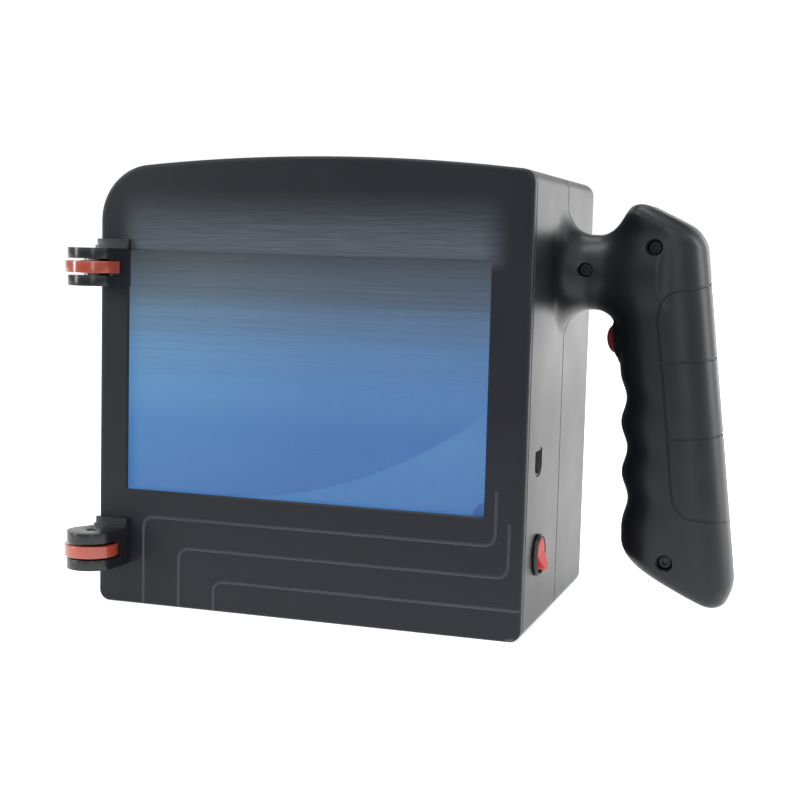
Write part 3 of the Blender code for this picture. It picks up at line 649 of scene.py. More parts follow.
def even(points, step, closed):
    """Points spaced evenly along a path."""
    if closed:
        points = np.vstack((points, points[:1]))
    run = np.concatenate(([0.0], np.cumsum(np.linalg.norm(np.diff(points, axis=0), axis=1))))
    count = int(run[-1] / step)
    at = np.linspace(0.0, run[-1], count + 1)
    found = np.column_stack([np.interp(at, run, points[:, k]) for k in range(3)])
    return found[:-1] if closed else found


def smoothed(points, closed):
    for _ in range(6):
        before, after = np.roll(points, 1, 0), np.roll(points, -1, 0)
        moved = 0.5 * points + 0.25 * (before + after)
        if not closed:
            moved[0], moved[-1] = points[0], points[-1]
        points = moved
    return points


def make_shells():
    whole = whole_body("whole")
    inner = [on_y(housing_outline(2.5), y) for y in (SHELL_FRONT_Y - 0.5, REAR_Y - 3.0)]
    cutters = [loft("hollow", inner)]
    mouth = ((11.5, 95.0), (11.5, 128.0))
    cutters.append(turned("bore", mouth, (0.0, PARTING_Y, NECK_Z), (1, 0, 0), count=48))
    cutters.append(turned("trigger_bore", ((8.2, -12.0), (8.2, 3.0)), TRIGGER_AT, TRIGGER_AXIS, count=64))
    boolean(whole, cutters)
    port = middle("data_port")
    holes = [loft("port_hole", port_rings(0.3, 92.0, 105.0))]
    at = (0.0, SWITCH_AT[1], SWITCH_AT[2])
    holes.append(turned("switch_hole", ((8.95, 92.0), (8.95, 105.0)), at, (1, 0, 0), count=64))
    wall = ((25.3, 58.0), (25.3, 72.0))
    holes.append(turned("lens_hole", wall, (LENS_X, 0.0, LENS_Z), (0, 1, 0), count=96))
    boolean(whole, holes)
    boolean(whole, seat_holes())
    for groove in palm_grooves():
        boolean(whole, [groove])
    for node, y, side in (("front_shell", SPLIT_FRONT_Y, 1.0), ("rear_shell", SPLIT_REAR_Y, -1.0)):
        half = half_of(whole, f"{node}_looks", y, side)
        stand_in(half, node)
        half.data.materials.clear()
        half.data.materials.append(FINISHES["charcoal_plastic"])
    bpy.data.objects.remove(whole)


def half_of(whole, name, y, side):
    """The part of a closed skin on one side of an upright plane, with a small chamfer along the cut."""
    made = placed(name, whole.data.copy())
    low_y, high_y = (-90.0, y) if side > 0.0 else (y, 90.0)
    boolean(made, [block("half", (-150.0, low_y, -20.0), (220.0, high_y, 240.0))], "INTERSECT")
    shape = bmesh.new()
    shape.from_mesh(made.data)
    geometry = shape.verts[:] + shape.edges[:] + shape.faces[:]
    plane = Vector((0.0, y - side * SPLIT_CHAMFER, 0.0)) * MM
    bmesh.ops.bisect_plane(shape, geom=geometry, dist=1e-7, plane_co=plane, plane_no=(0.0, 1.0, 0.0))
    pushes = {}
    for vertex in shape.verts:
        if abs(vertex.co.y - y * MM) > 2e-6:
            continue
        flat = sum((f.normal * f.calc_area() for f in vertex.link_faces if abs(f.normal.y) < 0.9), Vector())
        flat.y = 0.0
        if flat.length > 0.0:
            pushes[vertex] = flat.normalized() * SPLIT_CHAMFER * MM
    for vertex, push in pushes.items():
        vertex.co -= push
    shape.to_mesh(made.data)
    shape.free()
    return shade(made, 30.0)


# ---- bezel and screen
def groove_path(x, z, end):
    path = [(x, -1.0)] + arc((x + GROOVE_BEND, z - GROOVE_BEND), GROOVE_BEND, 180.0, 90.0, 10)
    if end is None:
        return path + [(HALF_WIDTH + 1.0, z)]
    return path + arc((end[0] - GROOVE_BEND, z + GROOVE_BEND), GROOVE_BEND, 270.0, 360.0, 10) + [end]


def in_groove(at):
    """Whether a point of the bezel's surface is sunk below its front, where the grooves run."""
    sunk = FRONT_Y + 0.02 < at.y < FRONT_Y + GROOVE_DEPTH + 0.02
    under_window = 2.0 < at.z < WINDOW_LOW[1] - 1.2
    beside_window = WINDOW_HIGH[0] + 1.2 < at.x < 97.0
    return sunk and (under_window or beside_window) and -97.0 < at.x < 97.5 and at.z < 70.0


def make_bezel():
    front = quarter_round(FRONT_Y, BEZEL_ROUNDING, -1.0, 6)[::-1]
    stations = [(FRONT_Y, BEZEL_ROUNDING + 1.0), *front, (FRONT_Y + BEZEL_ROUNDING + 0.8, 0.0)]
    stations += [(BEZEL_BACK_Y - 0.7, 0.0), (BEZEL_BACK_Y - 0.3, 0.0)]
    stations += [(BEZEL_BACK_Y, 0.3), (BEZEL_BACK_Y, 1.3)]
    bezel = loft("front_bezel_looks", [on_y(housing_outline(inset), y) for y, inset in stations])
    cutters = []
    window = rounded(rectangle(WINDOW_LOW, WINDOW_HIGH), 1.2, 5)
    wide = rounded(rectangle(WINDOW_LOW, WINDOW_HIGH, 0.9), 2.1, 5)
    cutters.append(loft("window", [on_y(window, FRONT_Y - 0.5), on_y(window, BEZEL_BACK_Y + 1.0)]))
    cutters.append(loft("lip", [on_y(wide, FRONT_Y - 0.2), on_y(window, FRONT_Y + 0.7)]))
    pocket = rectangle(WINDOW_LOW, WINDOW_HIGH, GLASS_MARGIN + 0.4)
    cutters.append(loft("pocket", [on_y(pocket, FRONT_Y + 1.2), on_y(pocket, BEZEL_BACK_Y + 1.0)]))
    for groove in GROOVES:
        path = groove_path(*groove)
        mouth, bed = stroke(path, GROOVE_WIDTH + 0.9), stroke(path, GROOVE_WIDTH - 0.5)
        cutters.append(loft("groove", [on_y(mouth, FRONT_Y - 0.15), on_y(bed, FRONT_Y + GROOVE_DEPTH)]))
    for side in ("upper", "lower"):
        for level in ("top", "bottom"):
            at = middle(f"bracket_screw_{side}_{level}")
            seat = BEZEL_BACK_Y - 2.3
            profile = ((1.4, FRONT_Y - 1.0), (1.4, seat), (2.4, seat), (2.4, BEZEL_BACK_Y + 1.0))
            cutters.append(turned("hole", profile, (at.x, 0.0, at.z), (0, 1, 0), count=24))
    for cutter in cutters:
        boolean(bezel, [cutter])
    shade(bezel, 24.0)
    bezel.data.materials.clear()
    bezel.data.materials.append(FINISHES["bezel"])
    # the grooves' sunk faces get the lighter groove colour, a painted highlight
    bezel.data.materials.append(FINISHES["groove"])
    for face in bezel.data.polygons:
        face.material_index = int(in_groove(face.center / MM))
    stand_in(bezel, "front_bezel")


# ---- side wall
PORT = middle("data_port")
SWITCH_AT = (HALF_WIDTH, middle("switch_body").y, middle("switch_body").z)
LENS_X, LENS_Z = middle("lens_flange").x, middle("lens_flange").z


def port_rings(by, x_low, x_high, taper=3.0, half_y=6.4, half_z=5.8):
    y, z = half_y + by, half_z + by
    outline = ((-y, -z + taper), (-y + taper, -z), (y - taper, -z), (y, -z + taper), (y, z), (-y, z))
    outline = rounded(outline, 1.5, 4)
    return [[(x, PORT.y + across, PORT.z + up) for across, up in outline] for x in (x_low, x_high)]


def make_port():
    port = loft("data_port_looks", port_rings(0.0, 85.0, HALF_WIDTH - 0.4), "black_steel")
    boolean(port, [loft("socket", port_rings(-0.8, 88.0, 105.0, 2.8))])
    tongue = block("tongue", (86.0, PORT.y - 2.8, PORT.z + 1.3), (97.5, PORT.y + 2.8, PORT.z + 3.6))
    boolean(port, [tongue], "UNION")
    soften(port, 0.14)
    stand_in(port, "data_port")
    for k in range(4):
        y = PORT.y - 1.9 + 1.27 * k
        low = (88.6, y - 0.35, PORT.z + 1.16)
        strip = block(f"port_contact_{k + 1}", low, (96.9, y + 0.35, PORT.z + 1.32), "contact")
        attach(strip, "housing")


def make_switch():
    out = (1.0, 0.0, 0.0)
    profile = [(0.5, -5.4), (8.0, -5.4), (8.0, 1.2), (8.5, 2.1), (8.9, 1.9), (9.3, 0.9), (9.3, 0.3)]
    profile += [(8.65, 0.3), (8.65, -13.0), (0.5, -13.0)]
    turned_part("switch_body", profile, SWITCH_AT, out, "black_plastic", rounding=0.28)
    tilt = Vector((0.978, 0.0, 0.208)).normalized()
    across = Vector((0.208, 0.0, -0.978)).normalized()
    rings = []
    turn = np.arange(96) * math.tau / 96

    def dished(radius, lower=0.0):
        x = radius * np.cos(turn)
        height = np.minimum(3.1 + 0.236 * (np.sqrt(x * x + 0.25) - 0.5), 4.8) - lower
        return np.column_stack((x, radius * np.sin(turn), height))

    for radius in (0.3, 1.0, 2.0, 3.0, 4.0, 5.0, 5.8, 6.3):
        rings.append(dished(radius))
    for k in range(1, 5):
        angle = math.radians(22.5 * k)
        rings.append(dished(6.3 + 0.7 * math.sin(angle), 0.7 * (1.0 - math.cos(angle))))
    rings.append(np.column_stack((7.0 * np.cos(turn), 7.0 * np.sin(turn), np.full(96, -0.9))))
    rings.append(np.column_stack((6.7 * np.cos(turn), 6.7 * np.sin(turn), np.full(96, -1.2))))
    paddle = loft("rocker_looks", rings, "switch_red", 40.0)
    basis = Matrix((across, Vector((0.0, 1.0, 0.0)), tilt)).transposed().to_4x4()
    pivot = Vector((HALF_WIDTH - 1.0, SWITCH_AT[1], SWITCH_AT[2])) * MM
    paddle.data.transform(Matrix.Translation(pivot) @ basis)
    stand_in(paddle, "rocker")


def make_trigger():
    collar = ((6.9, -4.2), (6.9, 1.1), (7.6, 1.5), (8.5, 1.1), (9.2, 0.0), (8.0, 0.0), (8.0, -4.2))
    turned_part("trigger_collar", collar, TRIGGER_AT, TRIGGER_AXIS, "black_plastic", True, rounding=0.3)
    dome = [(0.5, -9.6), (1.4, -9.6), (1.4, -6.0), (7.6, -6.0), (7.6, -4.7)]
    dome += [(6.6, -4.7), (6.6, 0.6), (6.6, 1.0)]
    rise = np.radians(np.linspace(6.0, 84.0, 14))
    dome += [(6.6 * math.cos(a), 1.0 + 4.0 * math.sin(a)) for a in rise]
    dome.append((0.3, 5.0))
    turned_part("trigger_button", dome, TRIGGER_AT, TRIGGER_AXIS, "button_red")


# ---- lens
FOCUS_RIBS = 14


def make_lens():
    at = (LENS_X, 0.0, LENS_Z)
    out = (0.0, 1.0, 0.0)
    base = REAR_Y + 0.3
    black = "black_steel"
    profile = ((22.3, 61.5), (24.9, 61.5), (24.9, base), (36.0, base), (36.0, base + 2.6))
    profile += ((34.6, base + 4.0), (27.0, base + 4.0), (26.0, base + 7.0), (22.3, base + 7.0))
    flange = turned("lens_flange_looks", profile, at, out, black, True, 128, 0.35)
    for number in range(4):
        place = middle(f"flange_screw_{number + 1}")
        hole = ((1.7, base - 1.0), (1.7, base + 1.2), (2.9, base + 1.2), (2.9, base + 6.0))
        boolean(flange, [turned("hole", hole, (place.x, 0.0, place.z), out, count=32)])
    shade(flange)
    stand_in(flange, "lens_flange")
    barrel = ((18.9, 60.4), (22.0, 60.4), (22.0, 89.0), (18.9, 89.0))
    barrel += ((18.9, 69.6), (16.4, 69.6), (16.4, 67.8), (18.9, 67.8))
    turned_part("lens_barrel", barrel, at, out, black, True, rounding=0.25)
    cell = ((16.0, 71.5), (18.6, 71.5), (18.6, 91.0), (17.6, 92.0), (15.4, 92.0), (15.4, 90.8))
    cell += ((16.4, 90.8), (16.4, 83.0), (14.6, 83.0), (14.6, 81.6), (16.0, 81.6))
    turned_part("focus_cell", cell, at, out, black, True, rounding=0.2)
    retainer = ((14.2, 88.3), (16.1, 86.2), (16.1, 90.5), (14.2, 90.5))
    turned_part("lens_retainer", retainer, at, out, black, True, rounding=0.2)
    dome = [(0.3, 84.5), (6.0, 84.0), (11.0, 83.6), (15.8, 83.3), (16.1, 83.6), (16.1, 85.2)]
    for k in range(14):
        r = 15.8 * (1.0 - k / 14.0)
        dome.append((r, 85.4 + 3.6 * (1.0 - (r / 16.1) ** 2)))
    dome.append((0.3, 89.0))
    turned_part("objective_lens", dome, at, out, "germanium")
    make_focus_ring(out)


def make_focus_ring(out):
    """The ring's ribs: its radius goes up and down round it, and they run out at both ends."""
    count = FOCUS_RIBS * 16
    turn = np.arange(count) * math.tau / count
    wave = np.clip(np.cos(turn * FOCUS_RIBS) * 2.2 + 0.2, -1.0, 1.0) * 0.5 + 0.5
    sections = ((0.0, 26.3, 0.0), (0.5, 26.7, 0.0), (1.1, 26.7, 0.0), (1.5, 26.7, 0.75), (2.0, 26.7, 1.0))
    sections += ((10.5, 26.7, 1.0), (11.0, 26.7, 0.75), (11.4, 26.7, 0.0), (12.0, 26.7, 0.0))
    sections += ((12.5, 26.3, 0.0), (12.5, 22.3, 0.0), (0.0, 22.3, 0.0))
    rings = []
    for height, radius, share in sections:
        r = radius + 0.8 * share * wave
        rings.append(np.column_stack((r * np.cos(turn), r * np.sin(turn), np.full(count, height))))
    focus = loft("focus_ring_looks", rings, "rubber", 40.0, closed=True)
    put(focus, (LENS_X, 75.4, LENS_Z), out)
    stand_in(focus, "focus_ring")


# ---- rollers
ROLLER_RADIUS = 12.0
ROLLER_HALF = 2.9
TYRE_HALF = 2.65
SLOT_HALF = 3.7
ROLLER_REACH = 8.4
NOSE_RADIUS = 10.8
PIN_RADIUS = 1.9
FLANGE_FROM, FLANGE_TO = -100.6, -84.6


def make_roller(side):
    place = middle(f"roller_wheel_{side}")
    at = np.array(place)
    back = FRONT_Y - 0.3
    flange = [(FLANGE_TO, back - 3.2), (FLANGE_TO, back), (FLANGE_FROM, back)]
    outline = arc((at[0], at[1]), NOSE_RADIUS, 150.0, 350.0, 40) + flange
    bracket = loft(
        f"roller_bracket_{side}_looks",
        [[(x, y, at[2] + level) for x, y in outline] for level in (-ROLLER_REACH, ROLLER_REACH)],
        "roller_black",
    )
    base = at[2] + ROLLER_REACH - 1.0
    low = block("low", (FLANGE_FROM, back - 3.6, base), (FLANGE_TO, back, at[2] + 9.7))
    high = block("high", (FLANGE_FROM + 0.2, back - 2.0, base), (FLANGE_TO - 0.2, back, at[2] + 12.6))
    boolean(bracket, [low], "UNION")
    boolean(bracket, [high], "UNION")
    mouth = ((ROLLER_RADIUS + 0.9, -SLOT_HALF), (ROLLER_RADIUS + 0.9, SLOT_HALF))
    boolean(bracket, [turned("slot", mouth, at, (0, 0, 1), count=96)])
    bore = ((PIN_RADIUS + 0.5, -ROLLER_REACH - 1.0), (PIN_RADIUS + 0.5, ROLLER_REACH + 1.0))
    boolean(bracket, [turned("bore", bore, at, (0, 0, 1), count=48)])
    for level in ("top", "bottom"):
        node = f"bracket_screw_{side}_{level}"
        spot = middle(node)
        profile = ((1.4, extent(node)[0].y - 0.4), (1.4, FRONT_Y + 3.0))
        boolean(bracket, [turned("hole", profile, (spot.x, 0.0, spot.z), (0, 1, 0), count=24)])
    soften(bracket, 0.5, 3, 40.0)
    stand_in(bracket, f"roller_bracket_{side}")
    hole = PIN_RADIUS + 0.15
    half = TYRE_HALF
    wheel = ((3.55, -ROLLER_HALF), (5.0, -ROLLER_HALF), (5.4, -half))
    wheel += ((ROLLER_RADIUS - 0.2, -half), (ROLLER_RADIUS, 0.25 - half))
    wheel += tuple((r, -h) for r, h in wheel[::-1])
    turned_part(f"roller_wheel_{side}", wheel, at, (0, 0, 1), "roller_orange", True, 160, 0.12)
    sleeve = ((hole, -ROLLER_HALF), (3.4, -ROLLER_HALF), (3.4, ROLLER_HALF), (hole, ROLLER_HALF))
    turned_part(f"roller_bush_{side}", sleeve, at, (0, 0, 1), "steel", True, 64, 0.2)
    end = ROLLER_REACH - 0.6
    pin = ((0.4, -end), (PIN_RADIUS, -end), (PIN_RADIUS, end), (0.4, end))
    turned_part(f"roller_pin_{side}", pin, at, (0, 0, 1), "steel", count=64, rounding=0.3)
    ring = ((hole, 3.05), (3.75, 3.05), (3.75, 3.55), (hole, 3.55))
    for sign, level in ((-1.0, "below"), (1.0, "above")):
        node = f"roller_washer_{side}_{level}"
        turned_part(node, ring, at, (0, 0, sign), "steel", True, 64, 0.12)


# ---- screws
def cap_screw(node, axis, shank, head, head_height, rounding=0.35):
    """A socket-head screw in place of a CAD one, with its head's outer face where the CAD's is."""
    low, high = extent(node)
    centre = (low + high) / 2
    outer = high.y if axis[1] > 0.0 else low.y
    length = high.y - low.y
    profile = ((0.3, -length), (shank, -length), (shank, -head_height))
    profile += ((head, -head_height), (head, 0.0), (0.3, 0.0))
    made = turned(f"{node}_looks", profile, (0, 0, 0), (0, 0, 1), "black_steel", False, 48, rounding)
    key = [(head * 0.52 * math.cos(a), head * 0.52 * math.sin(a)) for a in np.arange(6) * math.tau / 6]
    wide = [(x * 1.16, y * 1.16) for x, y in key]
    boolean(made, [loft("key", [[(x, y, z) for x, y in key] for z in (-head_height * 0.7, 1.0)])])
    mouth = [[(x, y, -0.25) for x, y in key], [(x, y, 0.05) for x, y in wide]]
    boolean(made, [loft("mouth", mouth)])
    shade(made)
    put(made, (centre.x, outer, centre.z), axis)
    stand_in(made, node)


def make_screws():
    for corner in CORNER_SCREWS:
        cap_screw(f"shell_screw_{corner}", (0, 1, 0), 1.5, 2.8, 2.3)
    for spot in HANDLE_SCREWS:
        cap_screw(f"handle_screw_{spot}", (0, -1, 0), 1.5, 2.7, 2.3)
    for number in range(4):
        cap_screw(f"flange_screw_{number + 1}", (0, 1, 0), 1.4, 2.6, 2.0)


# ---- which piece stands for which node
def turned_part(node, profile, at, axis, finish, closed=False, count=96, rounding=0.0):
    """A lathe-turned piece that takes a CAD node's place."""
    made = turned(f"{node}_looks", profile, at, axis, finish, closed, count, rounding)
    stand_in(made, node)



BODY_OF = {
    "rocker": "power_paddle",
    "trigger_button": "trigger",
    "focus_ring": "focus_grip",
    "focus_cell": "focus_group",
    "objective_lens": "focus_group",
    "lens_retainer": "focus_group",
    "roller_wheel_upper": "upper_roller",
    "roller_bush_upper": "upper_roller",
    "roller_wheel_lower": "lower_roller",
    "roller_bush_lower": "lower_roller",
}


def slot_of(node):
    """The record's material slot of a CAD node, from its first material's name."""
    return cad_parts[node].data.materials[0].name.split(".")[0]


def stand_in(made, node):
    """A piece takes a CAD node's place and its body."""
    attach(made, BODY_OF.get(node, "housing"))
    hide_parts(node)


# ---- finishes
class Graph:
    """Short forms for building a node tree. Each step gives its output socket."""

    def __init__(self, tree):
        self.nodes, self.links = tree.nodes, tree.links

    def feed(self, socket, value):
        if isinstance(value, bpy.types.NodeSocket):
            self.links.new(value, socket)
        else:
            socket.default_value = value

    def add(self, kind, output, inputs, **settings):
        node = self.nodes.new("ShaderNode" + kind)
        for name, value in settings.items():
            setattr(node, name, value)
        for name, value in inputs.items():
            self.feed(node.inputs[name], value)
        return node.outputs[output]

    def surface(self, inputs):
        for name, value in inputs.items():
            self.feed(self.nodes["Principled BSDF"].inputs[name], value)

    def place(self, kind="Object"):
        return self.add("TexCoord", kind, {})

    def axis(self, letter, kind="Object"):
        return self.add("SeparateXYZ", letter, {"Vector": self.place(kind)})

    def span(self, value, low, high, start=0.0, end=1.0, kind="LINEAR"):
        """Map the range low to high onto start to end."""
        inputs = {"Value": value, "From Min": low, "From Max": high, "To Min": start, "To Max": end}
        return self.add("MapRange", "Result", inputs, interpolation_type=kind)

    def maths(self, operation, a, b):
        return self.add("Math", "Value", {0: a, 1: b}, operation=operation)

    def mixed(self, factor, a, b, blend="MIX"):
        inputs = {"Factor": factor, "A": a, "B": b}
        return self.add("Mix", "Result", inputs, data_type="RGBA", blend_type=blend)

    def colours(self, value, stops):
        """An eased colour ramp through stops of (position, colour)."""
        colour = self.add("ValToRGB", "Color", {"Fac": value})
        ramp = colour.node.color_ramp
        for k, (at, shown) in enumerate(stops):
            stop = ramp.elements[k] if k < 2 else ramp.elements.new(at)
            stop.position = at
            stop.color = (*shown, 1.0)
        ramp.interpolation = "EASE"
        return colour

    def streaks(self, fineness, **inputs):
        """Noise drawn out along X."""
        stretch = {"Vector": self.place(), "Scale": (9.0, 1.0, fineness)}
        vector = self.add("Mapping", "Vector", stretch)
        return self.add("TexNoise", "Fac", {"Vector": vector, **inputs})


def new_material(name):
    made = bpy.data.materials.new(name)
    made.use_nodes = True
    return made, Graph(made.node_tree)


def finish(name, colour, roughness, metallic=0.0, grain=0.4, relief=0.02, blotch=0.12, **more):
    """A moulded or machined finish: a base colour with faint blotches, and a fine grain in relief.

    grain is the grain's size and relief its height, in millimetres. more may give coat or specular.
    """
    made, graph = new_material(name)
    made.diffuse_color = (*colour, 1.0)
    place = graph.place()
    broad = graph.add("TexNoise", "Fac", {"Scale": 38.0, "Detail": 6.0, "Vector": place})
    fine = graph.add("TexNoise", "Fac", {"Scale": 1000.0 / grain, "Detail": 2.0, "Vector": place})
    dark = (*[c * (1.0 - blotch) for c in colour], 1.0)
    pale = (*[min(c * (1.0 + blotch), 1.0) for c in colour], 1.0)
    bump = {"Strength": 1.0, "Distance": relief * MM, "Height": fine}
    graph.surface(
        {
            "Metallic": metallic,
            "Coat Weight": more.get("coat", 0.0),
            "Coat Roughness": 0.08,
            "Coat IOR": 1.55,
            "Specular IOR Level": more.get("specular", 0.5),
            "Base Color": graph.mixed(broad, dark, pale),
            "Roughness": graph.span(broad, 0.0, 1.0, roughness - 0.05, roughness + 0.05),
            "Normal": graph.add("Bump", "Normal", bump),
        }
    )
    return made


def screen_light(*rgb):
    """Linear light for an 8-bit screen colour, a little over it to make up for the cover glass."""
    return tuple(1.12 * ((c / 255 + 0.055) / 1.055) ** 2.4 - 0.008 for c in rgb)


SKY_STOPS = (
    (0.60, screen_light(90, 131, 180)),
    (0.73, screen_light(91, 120, 155)),
    (0.86, screen_light(82, 97, 114)),
    (1.0, screen_light(70, 77, 86)),
)
BAY_STOPS = (
    (0.0, screen_light(63, 111, 175)),
    (0.24, screen_light(69, 119, 182)),
    (0.44, screen_light(84, 132, 187)),
)
SHORE_STOPS = ((0.0, screen_light(73, 126, 187)), (0.30, screen_light(86, 138, 194)))
SIDE_STOPS = ((0.0, (1.28, 1.28, 1.14)), (0.7, (1.0, 1.0, 1.0)), (1.0, (0.95, 0.95, 0.96)))
# painted reflection: how much the streaks darken and lighten the display's picture
REFLECTION_STREAK_STOPS = ((0.25, (0.80, 0.80, 0.80)), (0.75, (1.16, 1.16, 1.16)))
# painted shadow: how dark the window's lower right corner is, from the corner out
CORNER_SHADOW_STOPS = ((0.0, (0.5, 0.55, 0.7)), (1.0, (1.0, 1.0, 1.0)))
# The curve between bay and shore, in shares of the window's width and height
CURVE = ((0.0, 0.0), (0.40, 0.010), (0.60, 0.077), (0.787, 0.195), (0.892, 0.29), (0.96, 0.36), (1.0, 0.42))


def display_finish():
    """The lit picture on the display: grey to blue from the top down, darker above a curve. Its streaked
    grey upper part is partly the screen's picture and partly painted reflection, carried on over the bezel
    above the window; a painted shadow darkens its lower right corner.
    """
    made, graph = new_material("display")
    across = graph.span(graph.axis("X"), WINDOW_LOW[0] * MM, WINDOW_HIGH[0] * MM)
    up = graph.span(graph.axis("Z"), WINDOW_LOW[1] * MM, WINDOW_HIGH[1] * MM)
    curve = graph.add("FloatCurve", "Value", {"Value": across})
    points = curve.node.mapping.curves[0].points
    for k, knot in enumerate(CURVE):
        if k < 2:
            points[k].location = knot
        else:
            points.new(*knot)
    curve.node.mapping.update()
    side = graph.span(graph.maths("SUBTRACT", up, curve), -0.006, 0.006)
    bay = graph.colours(up, BAY_STOPS + SKY_STOPS)
    picture = graph.mixed(side, graph.colours(up, SHORE_STOPS + SKY_STOPS), bay)
    picture = graph.mixed(1.0, picture, graph.colours(across, SIDE_STOPS), "MULTIPLY")
    # painted reflection: streaks over the picture's upper part, like those on the bezel above the window
    streak = graph.streaks(1500.0, Scale=1.0, Detail=8.0, Roughness=0.7)
    with_reflection = graph.mixed(1.0, picture, graph.colours(streak, REFLECTION_STREAK_STOPS), "MULTIPLY")
    picture = graph.mixed(graph.span(up, 0.30, 0.85), picture, with_reflection)
    # a painted shadow in the window's lower right corner
    corner = (WINDOW_HIGH[0] * MM, -63.6 * MM, WINDOW_LOW[1] * MM)
    away = graph.add("VectorMath", "Value", {0: graph.place(), 1: corner}, operation="DISTANCE")
    shadow = graph.colours(graph.span(away, 5.0 * MM, 6.2 * MM), CORNER_SHADOW_STOPS)
    graph.surface(
        {
            "Base Color": (0.004, 0.004, 0.005, 1.0),
            "Roughness": 0.35,
            "Emission Strength": 1.0,
            "Emission Color": graph.mixed(1.0, picture, shadow, "MULTIPLY"),
        }
    )
    return made


# The painted reflection on the bezel: where it fades in, from none to full, and its colour, lighter than
# the bezel's.
REFLECTION_LEFT = (-92.0, -80.0)  # from none to full
REFLECTION_RIGHT = (92.0, 76.0)
REFLECTION_FOOT = (WINDOW_HIGH[1] - 6.0, WINDOW_HIGH[1])
REFLECTION_TOP = (192.0, 164.0)
PAINTED_REFLECTION_COLOUR = (0.105, 0.125, 0.155, 1.0)


def paint_reflection_over_window(made):
    """A painted reflection on the bezel: faint lighter streaks in its colour, from the window's top edge
    up.
    """
    graph = Graph(made.node_tree)
    plain = graph.nodes["Principled BSDF"].inputs["Base Color"].links[0].from_socket
    share = graph.streaks(900.0, Detail=6.0)
    for letter, (start, end) in zip("XXZZ", (REFLECTION_LEFT, REFLECTION_RIGHT, REFLECTION_FOOT, REFLECTION_TOP)):
        fade = graph.span(graph.axis(letter), start * MM, end * MM, kind="SMOOTHSTEP")
        share = graph.maths("MULTIPLY", share, fade)
    graph.surface({"Base Color": graph.mixed(share, plain, PAINTED_REFLECTION_COLOUR)})


def glass_finish():
    """Clear cover glass: mostly see-through, with a clean reflection."""
    made = finish("screen_glass", (0.02, 0.025, 0.03), 0.08, grain=2.0, relief=0.0005, specular=0.6)
    Graph(made.node_tree).surface({"Alpha": 0.12})
    made.blend_method = "BLEND"
    return made


CHARCOAL = (0.0048, 0.0060, 0.0085)
BEZEL_GREY = (0.0058, 0.0070, 0.0110)
ROLLER_GREY = (0.0085, 0.0095, 0.0125)
GERMANIUM = (0.10, 0.065, 0.085)

FINISHES = {
    "charcoal_plastic": finish("charcoal_plastic", CHARCOAL, 0.36, grain=0.45, relief=0.012, specular=0.40),
    "bezel": finish("bezel_plastic", BEZEL_GREY, 0.40, grain=0.4, relief=0.010, specular=0.29),
    # lighter than the bezel: a painted highlight standing in for the light caught along the grooves' lips
    "groove": finish("groove", (0.030, 0.034, 0.042), 0.34, grain=0.4, relief=0.006),
    "black_plastic": finish("black_plastic", (0.010, 0.010, 0.011), 0.33, grain=0.4, relief=0.008),
    "roller_black": finish("roller_black", ROLLER_GREY, 0.24, grain=0.5, relief=0.006, specular=0.5),
    "screen_glass": glass_finish(),
    "display": display_finish(),
    "roller_orange": finish("roller_orange", (0.30, 0.036, 0.013), 0.32, grain=0.8, relief=0.002, coat=1.0),
    "switch_red": finish("switch_red", (0.46, 0.024, 0.022), 0.48, grain=0.6, relief=0.006, specular=0.25),
    "button_red": finish("button_red", (0.24, 0.014, 0.020), 0.38, grain=0.6, relief=0.006),
    "steel": finish("steel", (0.56, 0.56, 0.57), 0.28, 1.0, grain=0.5, relief=0.006),
    "contact": finish("contact", (0.75, 0.56, 0.25), 0.25, 1.0, grain=0.4, relief=0.004),
    "black_steel": finish("black_steel", (0.012, 0.012, 0.013), 0.36, 0.2, grain=0.4, relief=0.008),
    "aluminium": finish("aluminium", (0.70, 0.71, 0.72), 0.36, 1.0, grain=0.5, relief=0.010),
    "germanium": finish("germanium", GERMANIUM, 0.07, 0.85, grain=3.0, relief=0.0005, coat=1.0),
    "board_green": finish("board_green", (0.012, 0.10, 0.045), 0.38, grain=1.2, relief=0.02),
    "battery_blue": finish("battery_blue", (0.03, 0.10, 0.32), 0.32, grain=0.8, relief=0.006),
    "rubber": finish("rubber", (0.012, 0.012, 0.012), 0.62, grain=0.35, relief=0.02),
}
# paint a reflection into the bezel's colour above the window
paint_reflection_over_window(FINISHES["bezel"])


def dress_nodes():
    """CAD pieces that stay as they are get their finish, and rounded edges as a modifier."""
    for node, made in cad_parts.items():
        slot = SLOTS[node]
        made.data.materials.clear()
        made.data.materials.append(FINISHES[slot])
        edges = made.modifiers.new("edges", "BEVEL")
        edges.width = 0.15 * MM
        edges.segments = 2
        edges.limit_method = "ANGLE"
        edges.angle_limit = math.radians(40.0)


# ---- studio (metres)
FLOOR = [(-6.0, -4.0, 0.0), (6.0, -4.0, 0.0), (6.0, 14.0, 0.0), (-6.0, 14.0, 0.0)]
# name, place, aim, size, watts
LAMPS = (
    ("top_front", (-0.10, -0.26, 1.50), (0.0, -0.05, 0.1), (1.2, 0.5), 7.0),
    ("top_soft", (0.0, 0.75, 1.5), (0.0, 0.0, 0.1), (0.8, 0.5), 3.0),
    ("right_soft", (1.3, 0.45, 0.45), (0.15, 0.0, 0.12), (0.5, 0.8), 5.0),
    ("behind_right", (0.50, 1.50, 0.18), (0.10, 0.0, 0.12), (0.42, 0.7), 1.5),
    ("front_left", (-1.12, -0.87, 0.52), (-0.096, -0.08, 0.09), (0.20, 1.1), 10.0),
    ("front_right", (0.75, -1.55, 0.45), (0.15, 0.0, 0.12), (0.45, 0.9), 2.6),
)
CAMERA_AT = (0.23580, -0.67004, 0.16283)
CAMERA_RIGHT = Vector((0.95185, 0.30548, 0.02594))
CAMERA_DOWN = Vector((0.05440, -0.08505, -0.99489))
CAMERA_AHEAD = Vector((-0.30171, 0.94839, -0.09757))


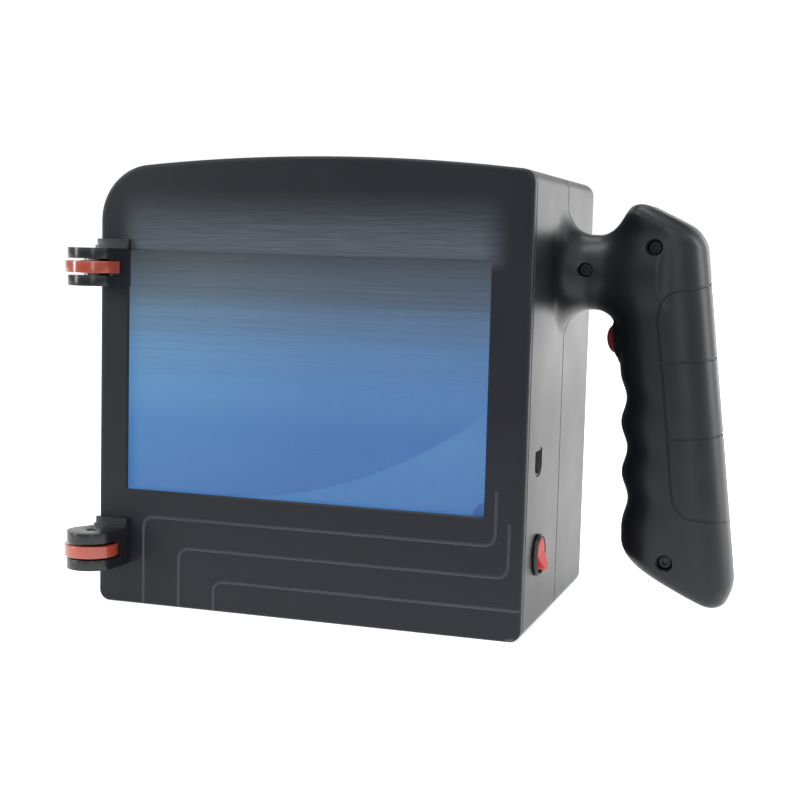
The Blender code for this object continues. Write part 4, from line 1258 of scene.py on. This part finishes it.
def make_floor():
    """A pale floor that gives off a little light of its own towards the back, to fade into white."""
    mesh = bpy.data.meshes.new("floor")
    mesh.from_pydata(FLOOR, [], [tuple(range(len(FLOOR)))])
    floor = placed("floor", mesh)
    look = finish("floor", (0.80, 0.80, 0.80), 0.9, grain=20.0, relief=0.001, blotch=0.01, specular=0.15)
    mesh.materials.append(look)
    graph = Graph(look.node_tree)
    y = graph.axis("Y")
    graph.surface(
        {
            "Base Color": graph.span(y, -0.85, -0.28, 0.22, 0.80, "SMOOTHSTEP"),
            "Emission Color": (1.0, 1.0, 1.0, 1.0),
            "Emission Strength": graph.span(y, -0.45, 0.15, 0.04, 0.85, "SMOOTHSTEP"),
        }
    )


def make_world():
    """Light from all round: dim low in front and high behind, bright between."""
    world = bpy.data.worlds.new("studio")
    bpy.context.scene.world = world
    world.use_nodes = True
    graph = Graph(world.node_tree)
    z = graph.axis("Z", "Generated")
    inputs = {
        "Factor": graph.span(graph.axis("Y", "Generated"), -0.10, 0.60, kind="SMOOTHSTEP"),
        "A": graph.span(z, -0.08, 0.30, 0.04, 1.20, "SMOOTHSTEP"),
        "B": graph.span(z, 0.26, 0.66, 1.02, 0.16, "SMOOTHSTEP"),
    }
    graph.feed(graph.nodes["Background"].inputs["Color"], graph.add("Mix", "Result", inputs))


def make_lamps():
    for name, at, towards, size, power in LAMPS:
        light = bpy.data.lights.new(name, "AREA")
        light.shape = "RECTANGLE"
        light.size, light.size_y = size
        light.energy = power
        made = placed(name, light)
        made.location = at
        made.rotation_euler = (Vector(towards) - Vector(at)).to_track_quat("-Z", "Y").to_euler()


def make_camera():
    camera = bpy.data.cameras.new("camera")
    camera.sensor_width = 36.0
    camera.lens = 66.8
    camera.clip_start, camera.clip_end = 0.01, 50.0
    made = placed("camera", camera)
    turn = Matrix((CAMERA_RIGHT, -CAMERA_DOWN, -CAMERA_AHEAD)).transposed().to_4x4()
    made.matrix_world = Matrix.Translation(CAMERA_AT) @ turn
    bpy.context.scene.camera = made


SLOTS = {node: slot_of(node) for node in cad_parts}
dress_nodes()
make_shells()
make_bezel()
make_port()
make_switch()
make_trigger()
make_lens()
for roller in ("upper", "lower"):
    make_roller(roller)
make_screws()
bpy.context.scene.view_settings.view_transform = "Standard"
make_world()
make_floor()
make_lamps()
make_camera()
